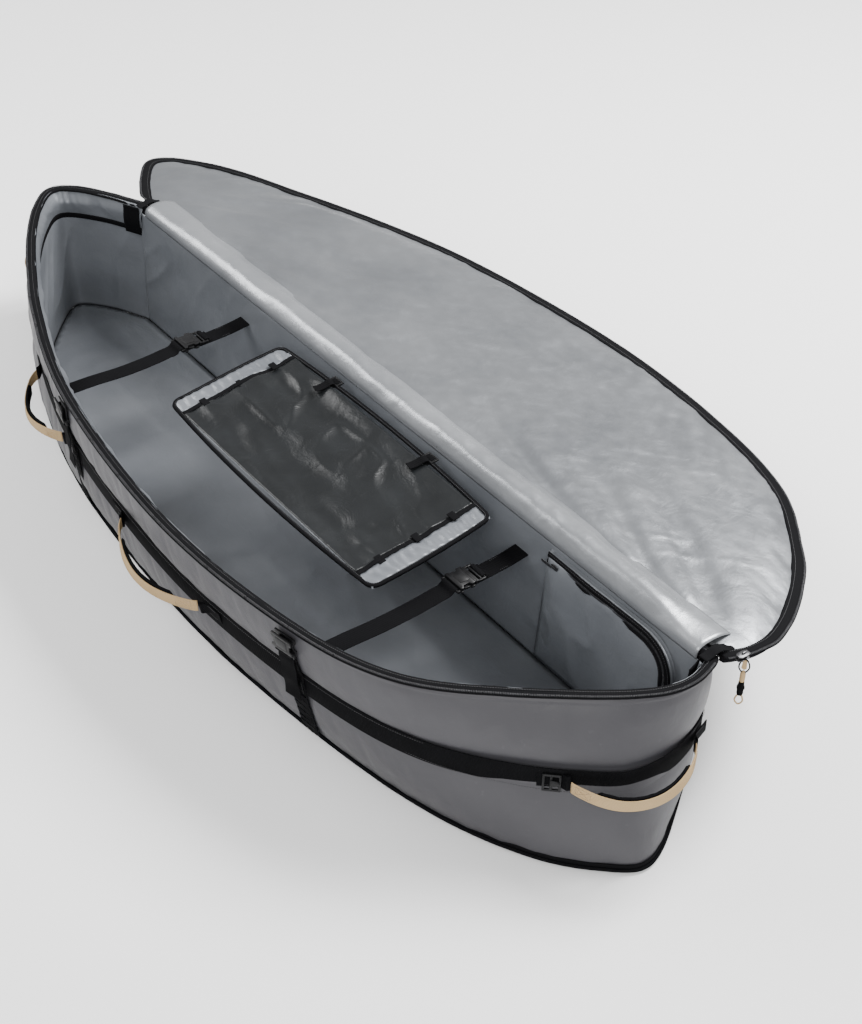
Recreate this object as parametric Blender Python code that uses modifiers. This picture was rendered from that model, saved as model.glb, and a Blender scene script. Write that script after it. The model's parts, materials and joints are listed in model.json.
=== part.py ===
"""A padded board travel bag, open, with its lid laid back on its hinge.

Metres. +X runs toward the tail, -Y toward the near long side, +Z up. The origin is the middle of the bottom.
"""

import math

import bmesh
import bpy
import numpy as np
from mathutils import Matrix, Vector

# Driving dimensions
RIM_Z = 0.300
BULGE = 0.006  # how far the padded walls stand out between the bulge heights
BULGE_HEIGHTS = (0.100, 0.200)
SKIN = 0.0018
FOAM = 0.0095
LINING = 0.0014
GAP = 0.0005
WALL_GAP = 0.0016  # between layers of the curved walls
WALL = SKIN + FOAM + LINING + 2 * WALL_GAP
LIP_DEPTH = 0.058  # the unpadded lip under the zip
TAPE_IN, TAPE_OUT = -0.010, 0.009
TAPE = 0.0014
TOOTH = 0.0034
BAND_LOW, BAND_HIGH = 0.137, 0.185
WEBBING = 0.0018
BAND_OUT = 0.0015
STRAP_OUT = BAND_OUT + WEBBING + 0.0010

# The lid turns about this line, parallel to X
HINGE_Y = 0.262
HINGE_Z = 0.304
LID_OPEN = math.radians(187)
LID_HINGE_GAP = 0.013

# Shape points of the rim and of the bottom, from the hinge's nose end round the near side to its tail end
RIM_POINTS = [
    (-0.900, 0.260), (-1.020, 0.198), (-1.095, 0.125), (-1.035, 0.050), (-0.880, -0.045),
    (-0.620, -0.160), (-0.320, -0.245), (0.100, -0.286), (0.450, -0.255), (0.670, -0.180),
    (0.830, -0.020), (0.930, 0.110), (0.956, 0.190), (0.940, 0.260),
]
BOTTOM_POINTS = [
    (-0.880, 0.235), (-0.985, 0.185), (-1.050, 0.115), (-0.985, 0.030), (-0.840, -0.080),
    (-0.600, -0.165), (-0.310, -0.217), (0.100, -0.234), (0.450, -0.204), (0.720, -0.152),
    (0.900, -0.075), (0.998, 0.008), (1.026, 0.078), (0.928, 0.235),
]
SIDE_STEPS = 60
HINGE_STEPS = 6
STEPS = SIDE_STEPS + HINGE_STEPS
NEAR_SIDE_T = (4.0, 9.5)  # places among the shape points, between which x only grows
TURN_WEIGHT = 0.5  # metres of outline that one radian of bend counts as, when stations are spread

# Straps, handles and fittings
STRAP_X = {"nose": -0.350, "tail": 0.455}
STRAP_WIDTH = 0.040
STRAP_LOW, STRAP_HIGH = 0.012, 0.238
TIE_X = {"nose": -0.455, "tail": 0.482}
TIE_Z = 0.226
TIE_SAG = 0.006
TIE_WIDTH = 0.038
TIE_BUCKLE_Y = 0.110
BUCKLE_WIDTH = 0.050
SOCKET_LENGTH = 0.042
SOCKET_HEIGHT = 0.0125
HANDLE_Z = (BAND_LOW + BAND_HIGH) / 2
HANDLE_END_OUT = 0.017
HANDLE_WIDTH = 0.025
TAB_START = 0.004
TAB_LENGTH = 0.014

# Mesh organiser, held to the hinge side wall by two short straps and lying as on the boards
ORGANISER_X = (-0.262, 0.430)
ORGANISER_HINGE = Vector((0.0, 0.234, 0.280))
ORGANISER_SLOPE = math.radians(6)
ORGANISER_NEAR, ORGANISER_FAR = 0.024, 0.300  # distances from its hinge
ORGANISER_RIM = 0.007
ORGANISER_END = 0.045  # the plain strip at each end of its mesh
HANG_X = (-0.085, 0.225)

# Pocket on the hinge side wall, in that wall's plane
POCKET_X = (0.555, 0.885)
POCKET_Z = (0.030, 0.278)
POCKET_CORNER = 0.075
POCKET_THICK = 0.006
POCKET_ZIP = 0.030
WALL_LEAN = math.atan2(RIM_POINTS[0][1] - BOTTOM_POINTS[0][1], RIM_Z)


# Outlines


def smooth(points, t):
    """A point at t, from 0 to 1 over each span, on the smooth curve through the points."""
    points = [np.array(p) for p in points]
    points = [2 * points[0] - points[1], *points, 2 * points[-1] - points[-2]]
    span = min(int(t), len(points) - 4)
    t -= span
    a, b, c, d = points[span : span + 4]
    return 0.5 * (2 * b + (c - a) * t + (2 * a - 5 * b + 4 * c - d) * t**2 + (3 * b - a - 3 * c + d) * t**3)


def stations():
    """Values of t spread along the rim, closer together where it bends."""
    fine = np.linspace(0, len(RIM_POINTS) - 1, 1301)
    xy = np.array([smooth(RIM_POINTS, t) for t in fine])
    step = np.diff(xy, axis=0)
    angle = np.unwrap(np.arctan2(step[:, 1], step[:, 0]))
    weight = np.hypot(step[:, 0], step[:, 1])
    weight[1:] += TURN_WEIGHT * np.abs(np.diff(angle))
    along = np.concatenate([[0], np.cumsum(weight)])
    return np.interp(np.linspace(0, along[-1], SIDE_STEPS + 1), along, fine)


SIDE_T = stations()


def closed_outline(points):
    """The side's stations, then the straight hinge side, without repeating the first point."""
    side = [smooth(points, t) for t in SIDE_T]
    back = [side[-1] + (side[0] - side[-1]) * i / HINGE_STEPS for i in range(1, HINGE_STEPS)]
    return np.array(side + back)


RIM = closed_outline(RIM_POINTS)
BOTTOM = closed_outline(BOTTOM_POINTS)


def offset(outline, out):
    """The closed outline moved outward, each edge staying parallel to itself."""
    before = outline - np.roll(outline, 1, axis=0)
    after = np.roll(outline, -1, axis=0) - outline
    normals = []
    for edge in (before, after):
        edge = edge / np.linalg.norm(edge, axis=1)[:, None]
        normals.append(np.column_stack([edge[:, 1], -edge[:, 0]]))
    both = normals[0] + normals[1]
    return outline + both * (2 * out / (both**2).sum(axis=1))[:, None]


LIP_LOW = RIM_Z - LIP_DEPTH
LIP_BULGE = BULGE * LIP_DEPTH / (RIM_Z - BULGE_HEIGHTS[1])
LEVELS = ((0, 0), (BULGE_HEIGHTS[0], BULGE), (BULGE_HEIGHTS[1], BULGE), (LIP_LOW, LIP_BULGE), (RIM_Z, 0))


def bulge(z):
    """How far the walls stand out at height z."""
    return float(np.interp(z, *zip(*LEVELS)))


def ring(out, z):
    """The bag's outline at height z, moved outward. Between two levels it runs straight."""
    z = min(max(z, 0), RIM_Z)
    for (low, low_bulge), (high, high_bulge) in zip(LEVELS, LEVELS[1:]):
        if z <= high:
            break
    below = offset(BOTTOM + (RIM - BOTTOM) * low / RIM_Z, out + low_bulge)
    above = offset(BOTTOM + (RIM - BOTTOM) * high / RIM_Z, out + high_bulge)
    return below + (above - below) * (z - low) / (high - low)


def skin_point(t, z, out):
    """A point beside the side wall, at t along the outline, and the wall's outward direction."""
    level = z / RIM_Z

    def at(t):
        low, high = smooth(BOTTOM_POINTS, t), smooth(RIM_POINTS, t)
        return low + (high - low) * level

    ahead = at(t + 0.01) - at(t - 0.01)
    ahead /= np.linalg.norm(ahead)
    outward = Vector((ahead[1], -ahead[0], 0))
    xy = at(t)
    return Vector((xy[0], xy[1], z)) + outward * (out + bulge(z)), outward


def wall_frame(t, z, out):
    """Axes lying on the wall: x along it toward the nose, y out of it, z up it."""
    centre, _ = skin_point(t, z, out)
    up = (skin_point(t, z + 0.01, out)[0] - skin_point(t, z - 0.01, out)[0]).normalized()
    along = skin_point(t + 0.02, z, out)[0] - skin_point(t - 0.02, z, out)[0]
    outward = along.cross(up).normalized()
    frame = Matrix((outward.cross(up), outward, up)).transposed().to_4x4()
    frame.translation = centre
    return frame


def near_side_t(x, z):
    """t on the near side where the wall passes x at height z."""
    low, high = NEAR_SIDE_T
    for _ in range(40):
        middle = (low + high) / 2
        if skin_point(middle, z, 0)[0].x < x:
            low = middle
        else:
            high = middle
    return low


def hinge_wall_y(z, out):
    """y of the hinge side wall at height z, moved outward."""
    return ring(out, z)[SIDE_STEPS + HINGE_STEPS // 2][1]


# Objects


def material(name, colour, roughness, metallic=0.0):
    made = bpy.data.materials.new(name)
    made.use_nodes = True
    shader = made.node_tree.nodes["Principled BSDF"]
    shader.inputs["Base Color"].default_value = (*colour, 1)
    shader.inputs["Roughness"].default_value = roughness
    shader.inputs["Metallic"].default_value = metallic
    made.diffuse_color = (*colour, 1)
    return made


def add_object(name, data, slot, parent=None, matrix=None):
    """An object in the bag's collection. Its matrix is in the parent's space."""
    made = bpy.data.objects.new(name, data)
    PARTS.objects.link(made)
    data.materials.append(MATERIALS[slot])
    if parent:
        made.parent = parent
    if matrix:
        made.matrix_basis = matrix
    return made


def mesh_object(name, bm, slot, parent=None, matrix=None):
    bmesh.ops.recalc_face_normals(bm, faces=bm.faces)
    mesh = bpy.data.meshes.new(name)
    bm.to_mesh(mesh)
    bm.free()
    mesh.shade_smooth()
    mesh.set_sharp_from_angle(angle=math.radians(35))
    return add_object(name, mesh, slot, parent, matrix)


def loft(name, rows, slot, closed=False, parent=None, matrix=None):
    """A solid through rows of points: each row is one closed section, all with as many points.

    Each side is split from its lower point in one row to its higher point in the next, so that the two faces of a
    thin twisted wall stay parallel.
    """
    bm = bmesh.new()
    sections = [[bm.verts.new(point) for point in row] for row in rows]
    pairs = list(zip(sections, sections[1:]))
    if closed:
        pairs.append((sections[-1], sections[0]))
    else:
        bm.faces.new(sections[0])
        bm.faces.new(sections[-1])
    for here, there in pairs:
        for i in range(len(here)):
            j = (i + 1) % len(here)
            if here[i].co.z > here[j].co.z:
                i, j = j, i
            bm.faces.new((here[i], here[j], there[j]))
            bm.faces.new((here[i], there[j], there[i]))
    return mesh_object(name, bm, slot, parent, matrix)


def sweep(name, profile, slot, part="side"):
    """The profile, as (outward, height) points, carried round the side, the hinge side or the whole bag."""
    rings = [np.column_stack([ring(out, z), np.full(STEPS, z)]) for out, z in profile]
    first, last = {"side": (0, SIDE_STEPS), "hinge": (SIDE_STEPS, STEPS), "all": (0, STEPS - 1)}[part]
    rows = [[r[i % STEPS].copy() for r in rings] for i in range(first, last + 1)]
    if part != "all":
        for end, neighbour in ((rows[0], rows[1]), (rows[-1], rows[-2])):
            for point, other in zip(end, neighbour):
                point += (other - point) / np.linalg.norm(other - point) * GAP
    return loft(name, rows, slot, closed=part == "all")


def layer(out, thickness, low, high):
    """A wall layer's profile, from its outer face to its inner one."""
    heights = [low, *(z for z, _ in LEVELS if low < z < high), high]
    return [(out, z) for z in heights] + [(out - thickness, z) for z in heights[::-1]]


def flat_curve(name, outlines, thickness, slot, parent=None, matrix=None):
    """A flat plate: the first outline with the others as holes, centred on its plane."""
    curve = bpy.data.curves.new(name, "CURVE")
    curve.dimensions = "2D"
    curve.fill_mode = "BOTH"
    curve.extrude = thickness / 2
    for outline in outlines:
        spline = curve.splines.new("POLY")
        spline.points.add(len(outline) - 1)
        for point, (x, y) in zip(spline.points, outline):
            point.co = (x, y, 0, 1)
        spline.use_cyclic_u = True
    return add_object(name, curve, slot, parent, matrix)


def plate(name, outline, low, high, slot, parent=None):
    return flat_curve(name, [outline], high - low, slot, parent, Matrix.Translation((0, 0, (low + high) / 2)))


def box(name, low, high, slot, parent=None, matrix=None, bevel=0.0):
    bm = bmesh.new()
    bmesh.ops.create_cube(bm, size=1)
    low, high = Vector(low), Vector(high)
    size = Matrix.Diagonal((high - low).to_4d())
    bmesh.ops.transform(bm, matrix=Matrix.Translation((low + high) / 2) @ size, verts=bm.verts)
    made = mesh_object(name, bm, slot, parent, matrix)
    if bevel:
        rounding = made.modifiers.new("Rounding", "BEVEL")
        rounding.width = bevel
        rounding.segments = 2
    return made


def cut(target, low, high, parent=None, matrix=None, operation="DIFFERENCE"):
    """Cuts a box from the target, or joins it on. The box is in the parent's space."""
    cutter = box(target.name + "_cutter", low, high, "webbing_black", parent, matrix)
    PARTS.objects.unlink(cutter)
    CUTTERS.objects.link(cutter)
    cutter.hide_render = True
    cutter.display_type = "WIRE"
    change = target.modifiers.new("Cut", "BOOLEAN")
    change.operation = operation
    change.object = cutter


def strip(name, centres, across, width, thickness, slot, parent=None, matrix=None):
    """Webbing: a flat band along its centres, as wide along the direction across."""
    bm = bmesh.new()
    side = Vector(across).normalized() * width / 2
    edges = [[bm.verts.new(Vector(c) - side), bm.verts.new(Vector(c) + side)] for c in centres]
    for here, there in zip(edges, edges[1:]):
        bm.faces.new((here[0], here[1], there[1], there[0]))
    made = mesh_object(name, bm, slot, parent, matrix)
    thicken = made.modifiers.new("Thickness", "SOLIDIFY")
    thicken.thickness = thickness
    thicken.offset = 0
    thicken.use_even_offset = True
    return made


def pivot(name, origin, rotation=0.0):
    """An empty on a joint's axis, turned about X."""
    made = bpy.data.objects.new(name, None)
    PARTS.objects.link(made)
    made.empty_display_size = 0.03
    made.location = origin
    made.rotation_euler = (rotation, 0, 0)
    return made


# The tub


def make_bottom():
    plate("bottom_skin", ring(0, 0), 0, SKIN, "shell_grey")
    low = SKIN + GAP
    plate("bottom_foam", ring(-WALL - 0.006, 0), low, low + FOAM, "foam")
    low += FOAM + GAP
    plate("bottom_lining", ring(-WALL - 0.007, 0), low, low + LINING, "lining_silver")
    radius, out, z = 0.0034, 0.0044, 0.0056
    circle = [(out + radius * math.cos(a), z + radius * math.sin(a)) for a in np.arange(6) * math.pi / 3]
    sweep("bottom_piping", circle, "binding_black", "all")


def make_walls():
    low = SKIN + GAP
    foam_out = -SKIN - WALL_GAP
    lining_out = foam_out - FOAM - WALL_GAP
    sweep("side_wall_skin", layer(0, SKIN, low, RIM_Z), "shell_grey")
    sweep("side_wall_foam", layer(foam_out, FOAM, low, RIM_Z), "foam")
    sweep("side_wall_lining", layer(lining_out, LINING, low, LIP_LOW - GAP), "lining_silver")
    sweep("rim_lip", layer(lining_out, LINING, LIP_LOW, RIM_Z), "lining_silver")
    binding = layer(-WALL - WALL_GAP, 0.0016, LIP_LOW - 0.006, LIP_LOW + 0.004)
    sweep("lip_binding", binding, "binding_black")
    top = RIM_Z - 0.006
    sweep("hinge_wall_skin", layer(0, SKIN, low, top), "shell_grey", "hinge")
    sweep("hinge_wall_foam", layer(foam_out, FOAM, low, top), "foam", "hinge")
    sweep("hinge_wall_lining", layer(lining_out, LINING, low, top), "lining_silver", "hinge")


def make_rim_zip():
    low = RIM_Z + 0.0006
    tape = [(TAPE_IN, low), (TAPE_OUT, low), (TAPE_OUT, low + TAPE), (TAPE_IN, low + TAPE)]
    sweep("tub_zip_tape", tape, "zip_tape")
    low += TAPE + 0.0003
    high = HINGE_Z + 0.0001
    teeth = [(TAPE_OUT - TOOTH, low), (TAPE_OUT, low), (TAPE_OUT, high), (TAPE_OUT - TOOTH, high)]
    sweep("tub_zip_teeth", teeth, "zip_teeth")


def make_hinge_roll():
    """The soft roll sewn along the hinge line."""
    curve = bpy.data.curves.new("hinge_roll", "CURVE")
    curve.dimensions = "3D"
    curve.bevel_depth = 0.0055
    curve.bevel_resolution = 2
    curve.use_fill_caps = True
    spline = curve.splines.new("POLY")
    spline.points.add(1)
    for point, x in zip(spline.points, (RIM_POINTS[0][0] + 0.02, RIM_POINTS[-1][0] - 0.02)):
        point.co = (x, 0, 0, 1)
    add_object("hinge_roll", curve, "lining_silver", matrix=Matrix.Translation((0, HINGE_Y, HINGE_Z + 0.001)))


def make_load_band():
    profile = layer(BAND_OUT + WEBBING, WEBBING, BAND_LOW, BAND_HIGH)
    band = sweep("load_band", profile, "webbing_black", "all")
    for handle in HANDLES.values():
        for t, direction in ((handle["t"][0], 1), (handle["t"][1], -1)):
            ends = sorted((direction * TAB_START, direction * (TAB_START + TAB_LENGTH)))
            low = (ends[0], BAND_OUT + 0.0006, -HANDLE_WIDTH / 2)
            high = (ends[1], HANDLE_END_OUT + 0.002, HANDLE_WIDTH / 2)
            cut(band, low, high, matrix=wall_frame(t, HANDLE_Z, 0), operation="UNION")


# Buckles


def socket_half(name, matrix, parent=None):
    """The socket half of a side release buckle. Its mouth is at y = 0 and faces +Y, its underside at z = 0."""
    half = BUCKLE_WIDTH / 2
    low, high = (-half, -SOCKET_LENGTH, 0), (half, 0, SOCKET_HEIGHT)
    body = box(name, low, high, "buckle_plastic", parent, matrix, bevel=0.0016)
    cut(body, (-half + 0.006, -SOCKET_LENGTH + 0.009, 0.0026), (half - 0.006, 0.01, 0.0099), parent, matrix)
    return body


def plug_outline():
    """The plug half seen from above: a crossbar, two latch arms and a guide. The socket's mouth is at y = 0."""
    half, arm, arm_in = BUCKLE_WIDTH / 2 - 0.001, BUCKLE_WIDTH / 2 - 0.0075, BUCKLE_WIDTH / 2 - 0.0135
    right = [
        (0.004, -0.026), (0.004, -0.006), (arm_in, -0.006), (arm_in, -0.030),
        (arm, -0.030), (arm, 0.001), (half, 0.001), (half, 0.024),
    ]
    return right + [(-x, y) for x, y in reversed(right)]


def plug_half(name, matrix, parent=None):
    """The plug half, pushed home in a socket that lies on z = 0."""
    place = matrix @ Matrix.Translation((0, 0, 0.0063))
    return flat_curve(name, [plug_outline()], 0.005, "buckle_plastic", parent, place)


def make_compression_straps():
    for end, x in STRAP_X.items():
        rows = []
        for z in np.linspace(STRAP_LOW, STRAP_HIGH, 6):
            ts = [near_side_t(x + side * STRAP_WIDTH / 2, z) for side in (-1, 1)]
            inner = [skin_point(t, z, STRAP_OUT)[0] for t in ts]
            outer = [skin_point(t, z, STRAP_OUT + WEBBING)[0] for t in ts]
            rows.append([inner[0], inner[1], outer[1], outer[0]])
        loft(f"compression_strap_{end}", rows, "webbing_black")
        head = STRAP_HIGH + SOCKET_LENGTH
        frame = wall_frame(near_side_t(x, head), head, STRAP_OUT + WEBBING + GAP)
        mouth_up = Matrix.Rotation(math.pi, 4, "Z") @ Matrix.Rotation(math.pi / 2, 4, "X")
        socket_half(f"compression_socket_{end}", frame @ mouth_up)


def tie_route(x):
    """Points of a tie-down from the near wall to the hinge side wall, and the buckle's place and height."""
    inside = -WALL - 0.0020
    edges = [near_side_t(x + side * TIE_WIDTH / 2, TIE_Z) for side in (-1, 1)]
    near = Vector((x, max(skin_point(t, TIE_Z, inside)[0].y for t in edges), TIE_Z))
    far = Vector((x, hinge_wall_y(TIE_Z, inside), TIE_Z))
    buckle_z = TIE_Z - TIE_SAG
    straight = (TIE_BUCKLE_Y - 0.060, TIE_BUCKLE_Y + 0.080)

    def sagging(a, b, fractions):
        """From the wall down to the straight stretch, arriving level."""
        return [
            Vector((x, a.y + (b.y - a.y) * f, a.z + (b.z - a.z) * math.sin(math.pi / 2 * f)))
            for f in fractions
        ]

    level_near = Vector((x, straight[0], buckle_z))
    level_far = Vector((x, straight[1], buckle_z))
    near_part = sagging(near, level_near, np.linspace(0, 1, 9))
    far_part = sagging(far, level_far, np.linspace(0, 1, 7))[::-1]
    near_part.append(Vector((x, TIE_BUCKLE_Y - 0.012, buckle_z)))
    far_part.insert(0, Vector((x, TIE_BUCKLE_Y + 0.004, buckle_z)))
    return near_part, far_part, buckle_z


def make_tie_downs():
    for end, x in TIE_X.items():
        near_part, far_part, z = tie_route(x)
        strip(f"tie_strap_near_{end}", near_part, (1, 0, 0), TIE_WIDTH, WEBBING, "webbing_black")
        strip(f"tie_strap_far_{end}", far_part, (1, 0, 0), TIE_WIDTH, WEBBING, "webbing_black")
        place = Vector((x, TIE_BUCKLE_Y, z + WEBBING / 2 + GAP))
        socket_half(f"tie_socket_{end}", Matrix.Translation(place))
        plug_half(f"tie_plug_{end}", Matrix.Identity(4), pivot(f"tie_plug_{end}_slide", place))


# The mesh organiser and the pocket


def rectangle(x0, x1, y0, y1, radius=0.0):
    """A rectangle's outline, with round corners where a radius is given."""
    if not radius:
        return [(x0, y0), (x1, y0), (x1, y1), (x0, y1)]
    corners = ((x1, y1, 0), (x0, y1, 1), (x0, y0, 2), (x1, y0, 3))
    points = []
    for x, y, quarter in corners:
        cx = x - radius if x == x1 else x + radius
        cy = y - radius if y == y1 else y + radius
        for step in range(5):
            angle = (quarter + step / 4) * math.pi / 2
            points.append((cx + radius * math.cos(angle), cy + radius * math.sin(angle)))
    return points


def make_organiser():
    """A flat pocket on two short straps. Its own y runs from its hinge toward the near side."""
    hinge = pivot("organiser_hinge", ORGANISER_HINGE)
    lying = Matrix.Rotation(math.pi, 4, "Z") @ Matrix.Rotation(-ORGANISER_SLOPE, 4, "X")
    x0, x1 = -ORGANISER_X[1], -ORGANISER_X[0]
    y0, y1 = ORGANISER_NEAR, ORGANISER_FAR
    rim = ORGANISER_RIM
    outer = rectangle(x0, x1, y0, y1, 0.022)
    inner = rectangle(x0 + rim, x1 - rim, y0 + rim, y1 - rim, 0.015)
    flat_curve("organiser_binding", [outer, inner], 0.004, "binding_black", hinge, lying)
    edge = rim + 0.0004
    inside = rectangle(x0 + edge, x1 - edge, y0 + edge, y1 - edge, 0.0146)
    low = lying @ Matrix.Translation((0, 0, -0.0008))
    flat_curve("organiser_backing", [inside], 0.0012, "lining_silver", hinge, low)
    mesh_outline = rectangle(x0 + ORGANISER_END, x1 - ORGANISER_END, y0 + edge, y1 - edge)
    high = lying @ Matrix.Translation((0, 0, 0.0009))
    flat_curve("organiser_mesh", [mesh_outline], 0.0012, "mesh_dark", hinge, high)
    for side, x in zip(("nose", "tail"), HANG_X):
        route = [(-x, y, 0.0) for y in np.linspace(0.004, ORGANISER_NEAR - GAP, 4)]
        strip(f"hang_strap_{side}", route, (1, 0, 0), 0.020, 0.0015, "webbing_black", hinge, lying)
        frame = lying @ Matrix.Translation((-x, 0.0125, 0.0032))
        outline = [rectangle(-0.016, 0.016, -0.009, 0.009, 0.003), rectangle(-0.011, 0.011, -0.003, 0.003)]
        flat_curve(f"ladder_lock_{side}", outline, 0.0040, "buckle_plastic", hinge, frame)


def pocket_outline(inset):
    """The pocket's front, with its top tail corner round. x along the bag, y up the wall."""
    (x0, x1), (z0, z1) = POCKET_X, POCKET_Z
    radius = POCKET_CORNER - inset
    points = [(x0 + inset, z1 - inset), (x0 + inset, z0 + inset), (x1 - inset, z0 + inset)]
    for step in range(9):
        angle = step / 8 * math.pi / 2
        points.append(
            (x1 - POCKET_CORNER + radius * math.cos(angle), z1 - POCKET_CORNER + radius * math.sin(angle))
        )
    return points


def make_pocket():
    """A zipped pocket on the hinge side wall, and its slider on the zip's straight stretch."""
    foot = Vector((0, hinge_wall_y(0, -WALL - 0.0008), 0))
    standing = Matrix.Translation(foot) @ Matrix.Rotation(math.pi / 2 - WALL_LEAN, 4, "X")
    front = standing @ Matrix.Translation((0, 0, POCKET_THICK / 2))
    flat_curve("pocket_panel", [pocket_outline(0)], POCKET_THICK, "lining_silver", matrix=front)
    corner, inner = pocket_outline(0.002), pocket_outline(0.002 + POCKET_ZIP)
    tape = [corner[2], *corner[3:], corner[0], (corner[0][0], inner[0][1]), *inner[3:][::-1]]
    tape.append((inner[2][0], corner[2][1]))
    above = standing @ Matrix.Translation((0, 0, POCKET_THICK + GAP + 0.0008))
    flat_curve("pocket_zip", [tape], 0.0016, "zip_tape", matrix=above)
    start = Vector((POCKET_X[0] + 0.030, POCKET_Z[1] - 0.002 - POCKET_ZIP / 2, POCKET_THICK + 0.0016 + 2 * GAP))
    slide = pivot("pocket_slider_slide", standing @ start, math.pi / 2 - WALL_LEAN)
    box("pocket_slider", (-0.009, -0.005, 0), (0.009, 0.005, 0.004), "slider_metal", slide, bevel=0.001)


# Handles

HANDLES = {
    "tail": {"t": (10.35, 12.45), "stand_off": 0.034},
    "nose": {"t": (1.25, 3.30), "stand_off": 0.034},
    "middle": {"t": (6.55, 7.25), "stand_off": 0.045},
    "forward": {"t": (4.95, 5.75), "stand_off": 0.045},
}


def handle_route(handle, out=0.0, first=0.0, last=1.0, steps=14):
    t0, t1 = handle["t"]
    points = []
    for f in np.linspace(first, last, steps + 1):
        stand = HANDLE_END_OUT + handle["stand_off"] * math.sin(math.pi * f) ** 0.75
        points.append(skin_point(t0 + (t1 - t0) * f, HANDLE_Z, stand + out)[0])
    return points


def make_handles():
    """Each handle turns on the line through its two ends, which are sewn to the load band's tabs."""
    for name, handle in HANDLES.items():
        route = handle_route(handle)
        hinge = pivot(f"{name}_handle_hinge", route[0])
        local = [point - route[0] for point in route]
        strip(f"{name}_handle_webbing", local, (0, 0, 1), HANDLE_WIDTH, WEBBING, "webbing_tan", hinge)
        inner = [point - route[0] for point in handle_route(handle, -0.0048, 0.2, 0.8, 8)]
        strip(f"{name}_handle_pad", inner, (0, 0, 1), HANDLE_WIDTH, 0.006, "webbing_black", hinge)


def make_tail_hook():
    """The hook buckle that joins the tail handle's near end to the load band."""
    t = HANDLES["tail"]["t"][0]
    low = TAB_START + TAB_LENGTH + 0.002
    high = low + 0.031
    slot = rectangle(low + 0.012, low + 0.018, -0.011, 0.011)
    outline = [rectangle(low, high, -0.015, 0.015, 0.003), slot]
    frame = wall_frame(t, HANDLE_Z, 0.0070) @ Matrix.Rotation(math.pi / 2, 4, "X")
    flat_curve("tail_hook", outline, 0.005, "buckle_plastic", matrix=frame)


# The lid


def lid_outline(out, closed=True):
    """The lid's outline as closed, seen from its hinge: the rim's, stopping short of the hinge line."""
    side = offset(RIM, out)[: SIDE_STEPS + 1]
    limit = HINGE_Y - LID_HINGE_GAP
    points = [(x, min(y, limit) - HINGE_Y) for x, y in side]
    return points if closed else points[1:-1]


def lid_ring(name, inner, outer, low, high, slot, lid):
    """A band round the lid's free edge."""
    inside, outside = lid_outline(inner, False), lid_outline(outer, False)
    rows = []
    for (x0, y0), (x1, y1) in zip(inside, outside):
        rows.append([(x0, y0, low), (x1, y1, low), (x1, y1, high), (x0, y0, high)])
    loft(name, rows, slot, parent=lid)


def lid_to_world():
    return Matrix.Translation((0, HINGE_Y, HINGE_Z)) @ Matrix.Rotation(-LID_OPEN, 4, "X")


def make_main_slider(lid):
    """The main zip's slider, parked on the lid's tail corner, and its cord pull, which hangs."""
    y = -0.036
    edge = np.array(lid_outline(TAPE_OUT))
    tail = edge[SIDE_STEPS // 2 :]
    x = float(np.interp(y, tail[:, 1], tail[:, 0]))
    low, high = (x + 0.0022, y - 0.009, -0.004), (x + 0.0082, y + 0.009, 0.006)
    box("main_slider", low, high, "slider_metal", lid, bevel=0.0012)
    hinge = pivot("zip_pull_hinge", lid_to_world() @ Vector((x + 0.0120, y, 0.001)))
    curve = bpy.data.curves.new("zip_pull", "CURVE")
    curve.dimensions = "3D"
    curve.bevel_depth = 0.0016
    curve.bevel_resolution = 2
    spline = curve.splines.new("POLY")
    count, half, length = 20, 0.0042, 0.070
    spline.points.add(count - 1)
    for i, point in enumerate(spline.points):
        angle = 2 * math.pi * i / count
        height = math.copysign(abs(math.cos(angle)) ** 0.5, math.cos(angle))
        point.co = (0, half * math.sin(angle), (height - 1) * length / 2, 1)
    spline.use_cyclic_u = True
    add_object("zip_pull", curve, "webbing_tan", hinge)


def make_lid():
    lid = pivot("lid_hinge", (0, HINGE_Y, HINGE_Z), -LID_OPEN)
    make_main_slider(lid)
    low = 0.0007
    lid_ring("lid_zip_teeth", TAPE_OUT - TOOTH, TAPE_OUT, low, low + 0.0016, "zip_teeth", lid)
    low += 0.0019
    lid_ring("lid_zip_tape", TAPE_IN, TAPE_OUT, low, low + TAPE, "zip_tape", lid)
    low += TAPE + GAP
    plate("lid_lining", lid_outline(-0.002), low, low + LINING, "lining_silver", lid)
    low += LINING + GAP
    plate("lid_foam", lid_outline(-0.006), low, low + 0.012, "foam", lid)
    low += 0.012 + GAP
    plate("lid_skin", lid_outline(0.002), low, low + SKIN, "shell_grey", lid)
    low += SKIN + GAP
    for end, x in STRAP_X.items():
        near = skin_point(near_side_t(x, RIM_Z), RIM_Z, 0)[0].y - HINGE_Y + 0.012
        route = [(x, y, low + WEBBING / 2) for y in np.linspace(-0.030, near, 4)]
        strip(f"lid_strap_{end}", route, (1, 0, 0), STRAP_WIDTH, WEBBING, "webbing_black", lid)
        hang = lid_to_world() @ Vector((x, near, low + WEBBING + 0.004))
        swing = pivot(f"lid_plug_{end}_hinge", hang)
        down = Matrix.Rotation(math.pi / 2, 4, "X") @ Matrix.Translation((0, -0.028, 0))
        flat_curve(f"lid_plug_{end}", [plug_outline()], 0.005, "buckle_plastic", swing, down)


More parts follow.
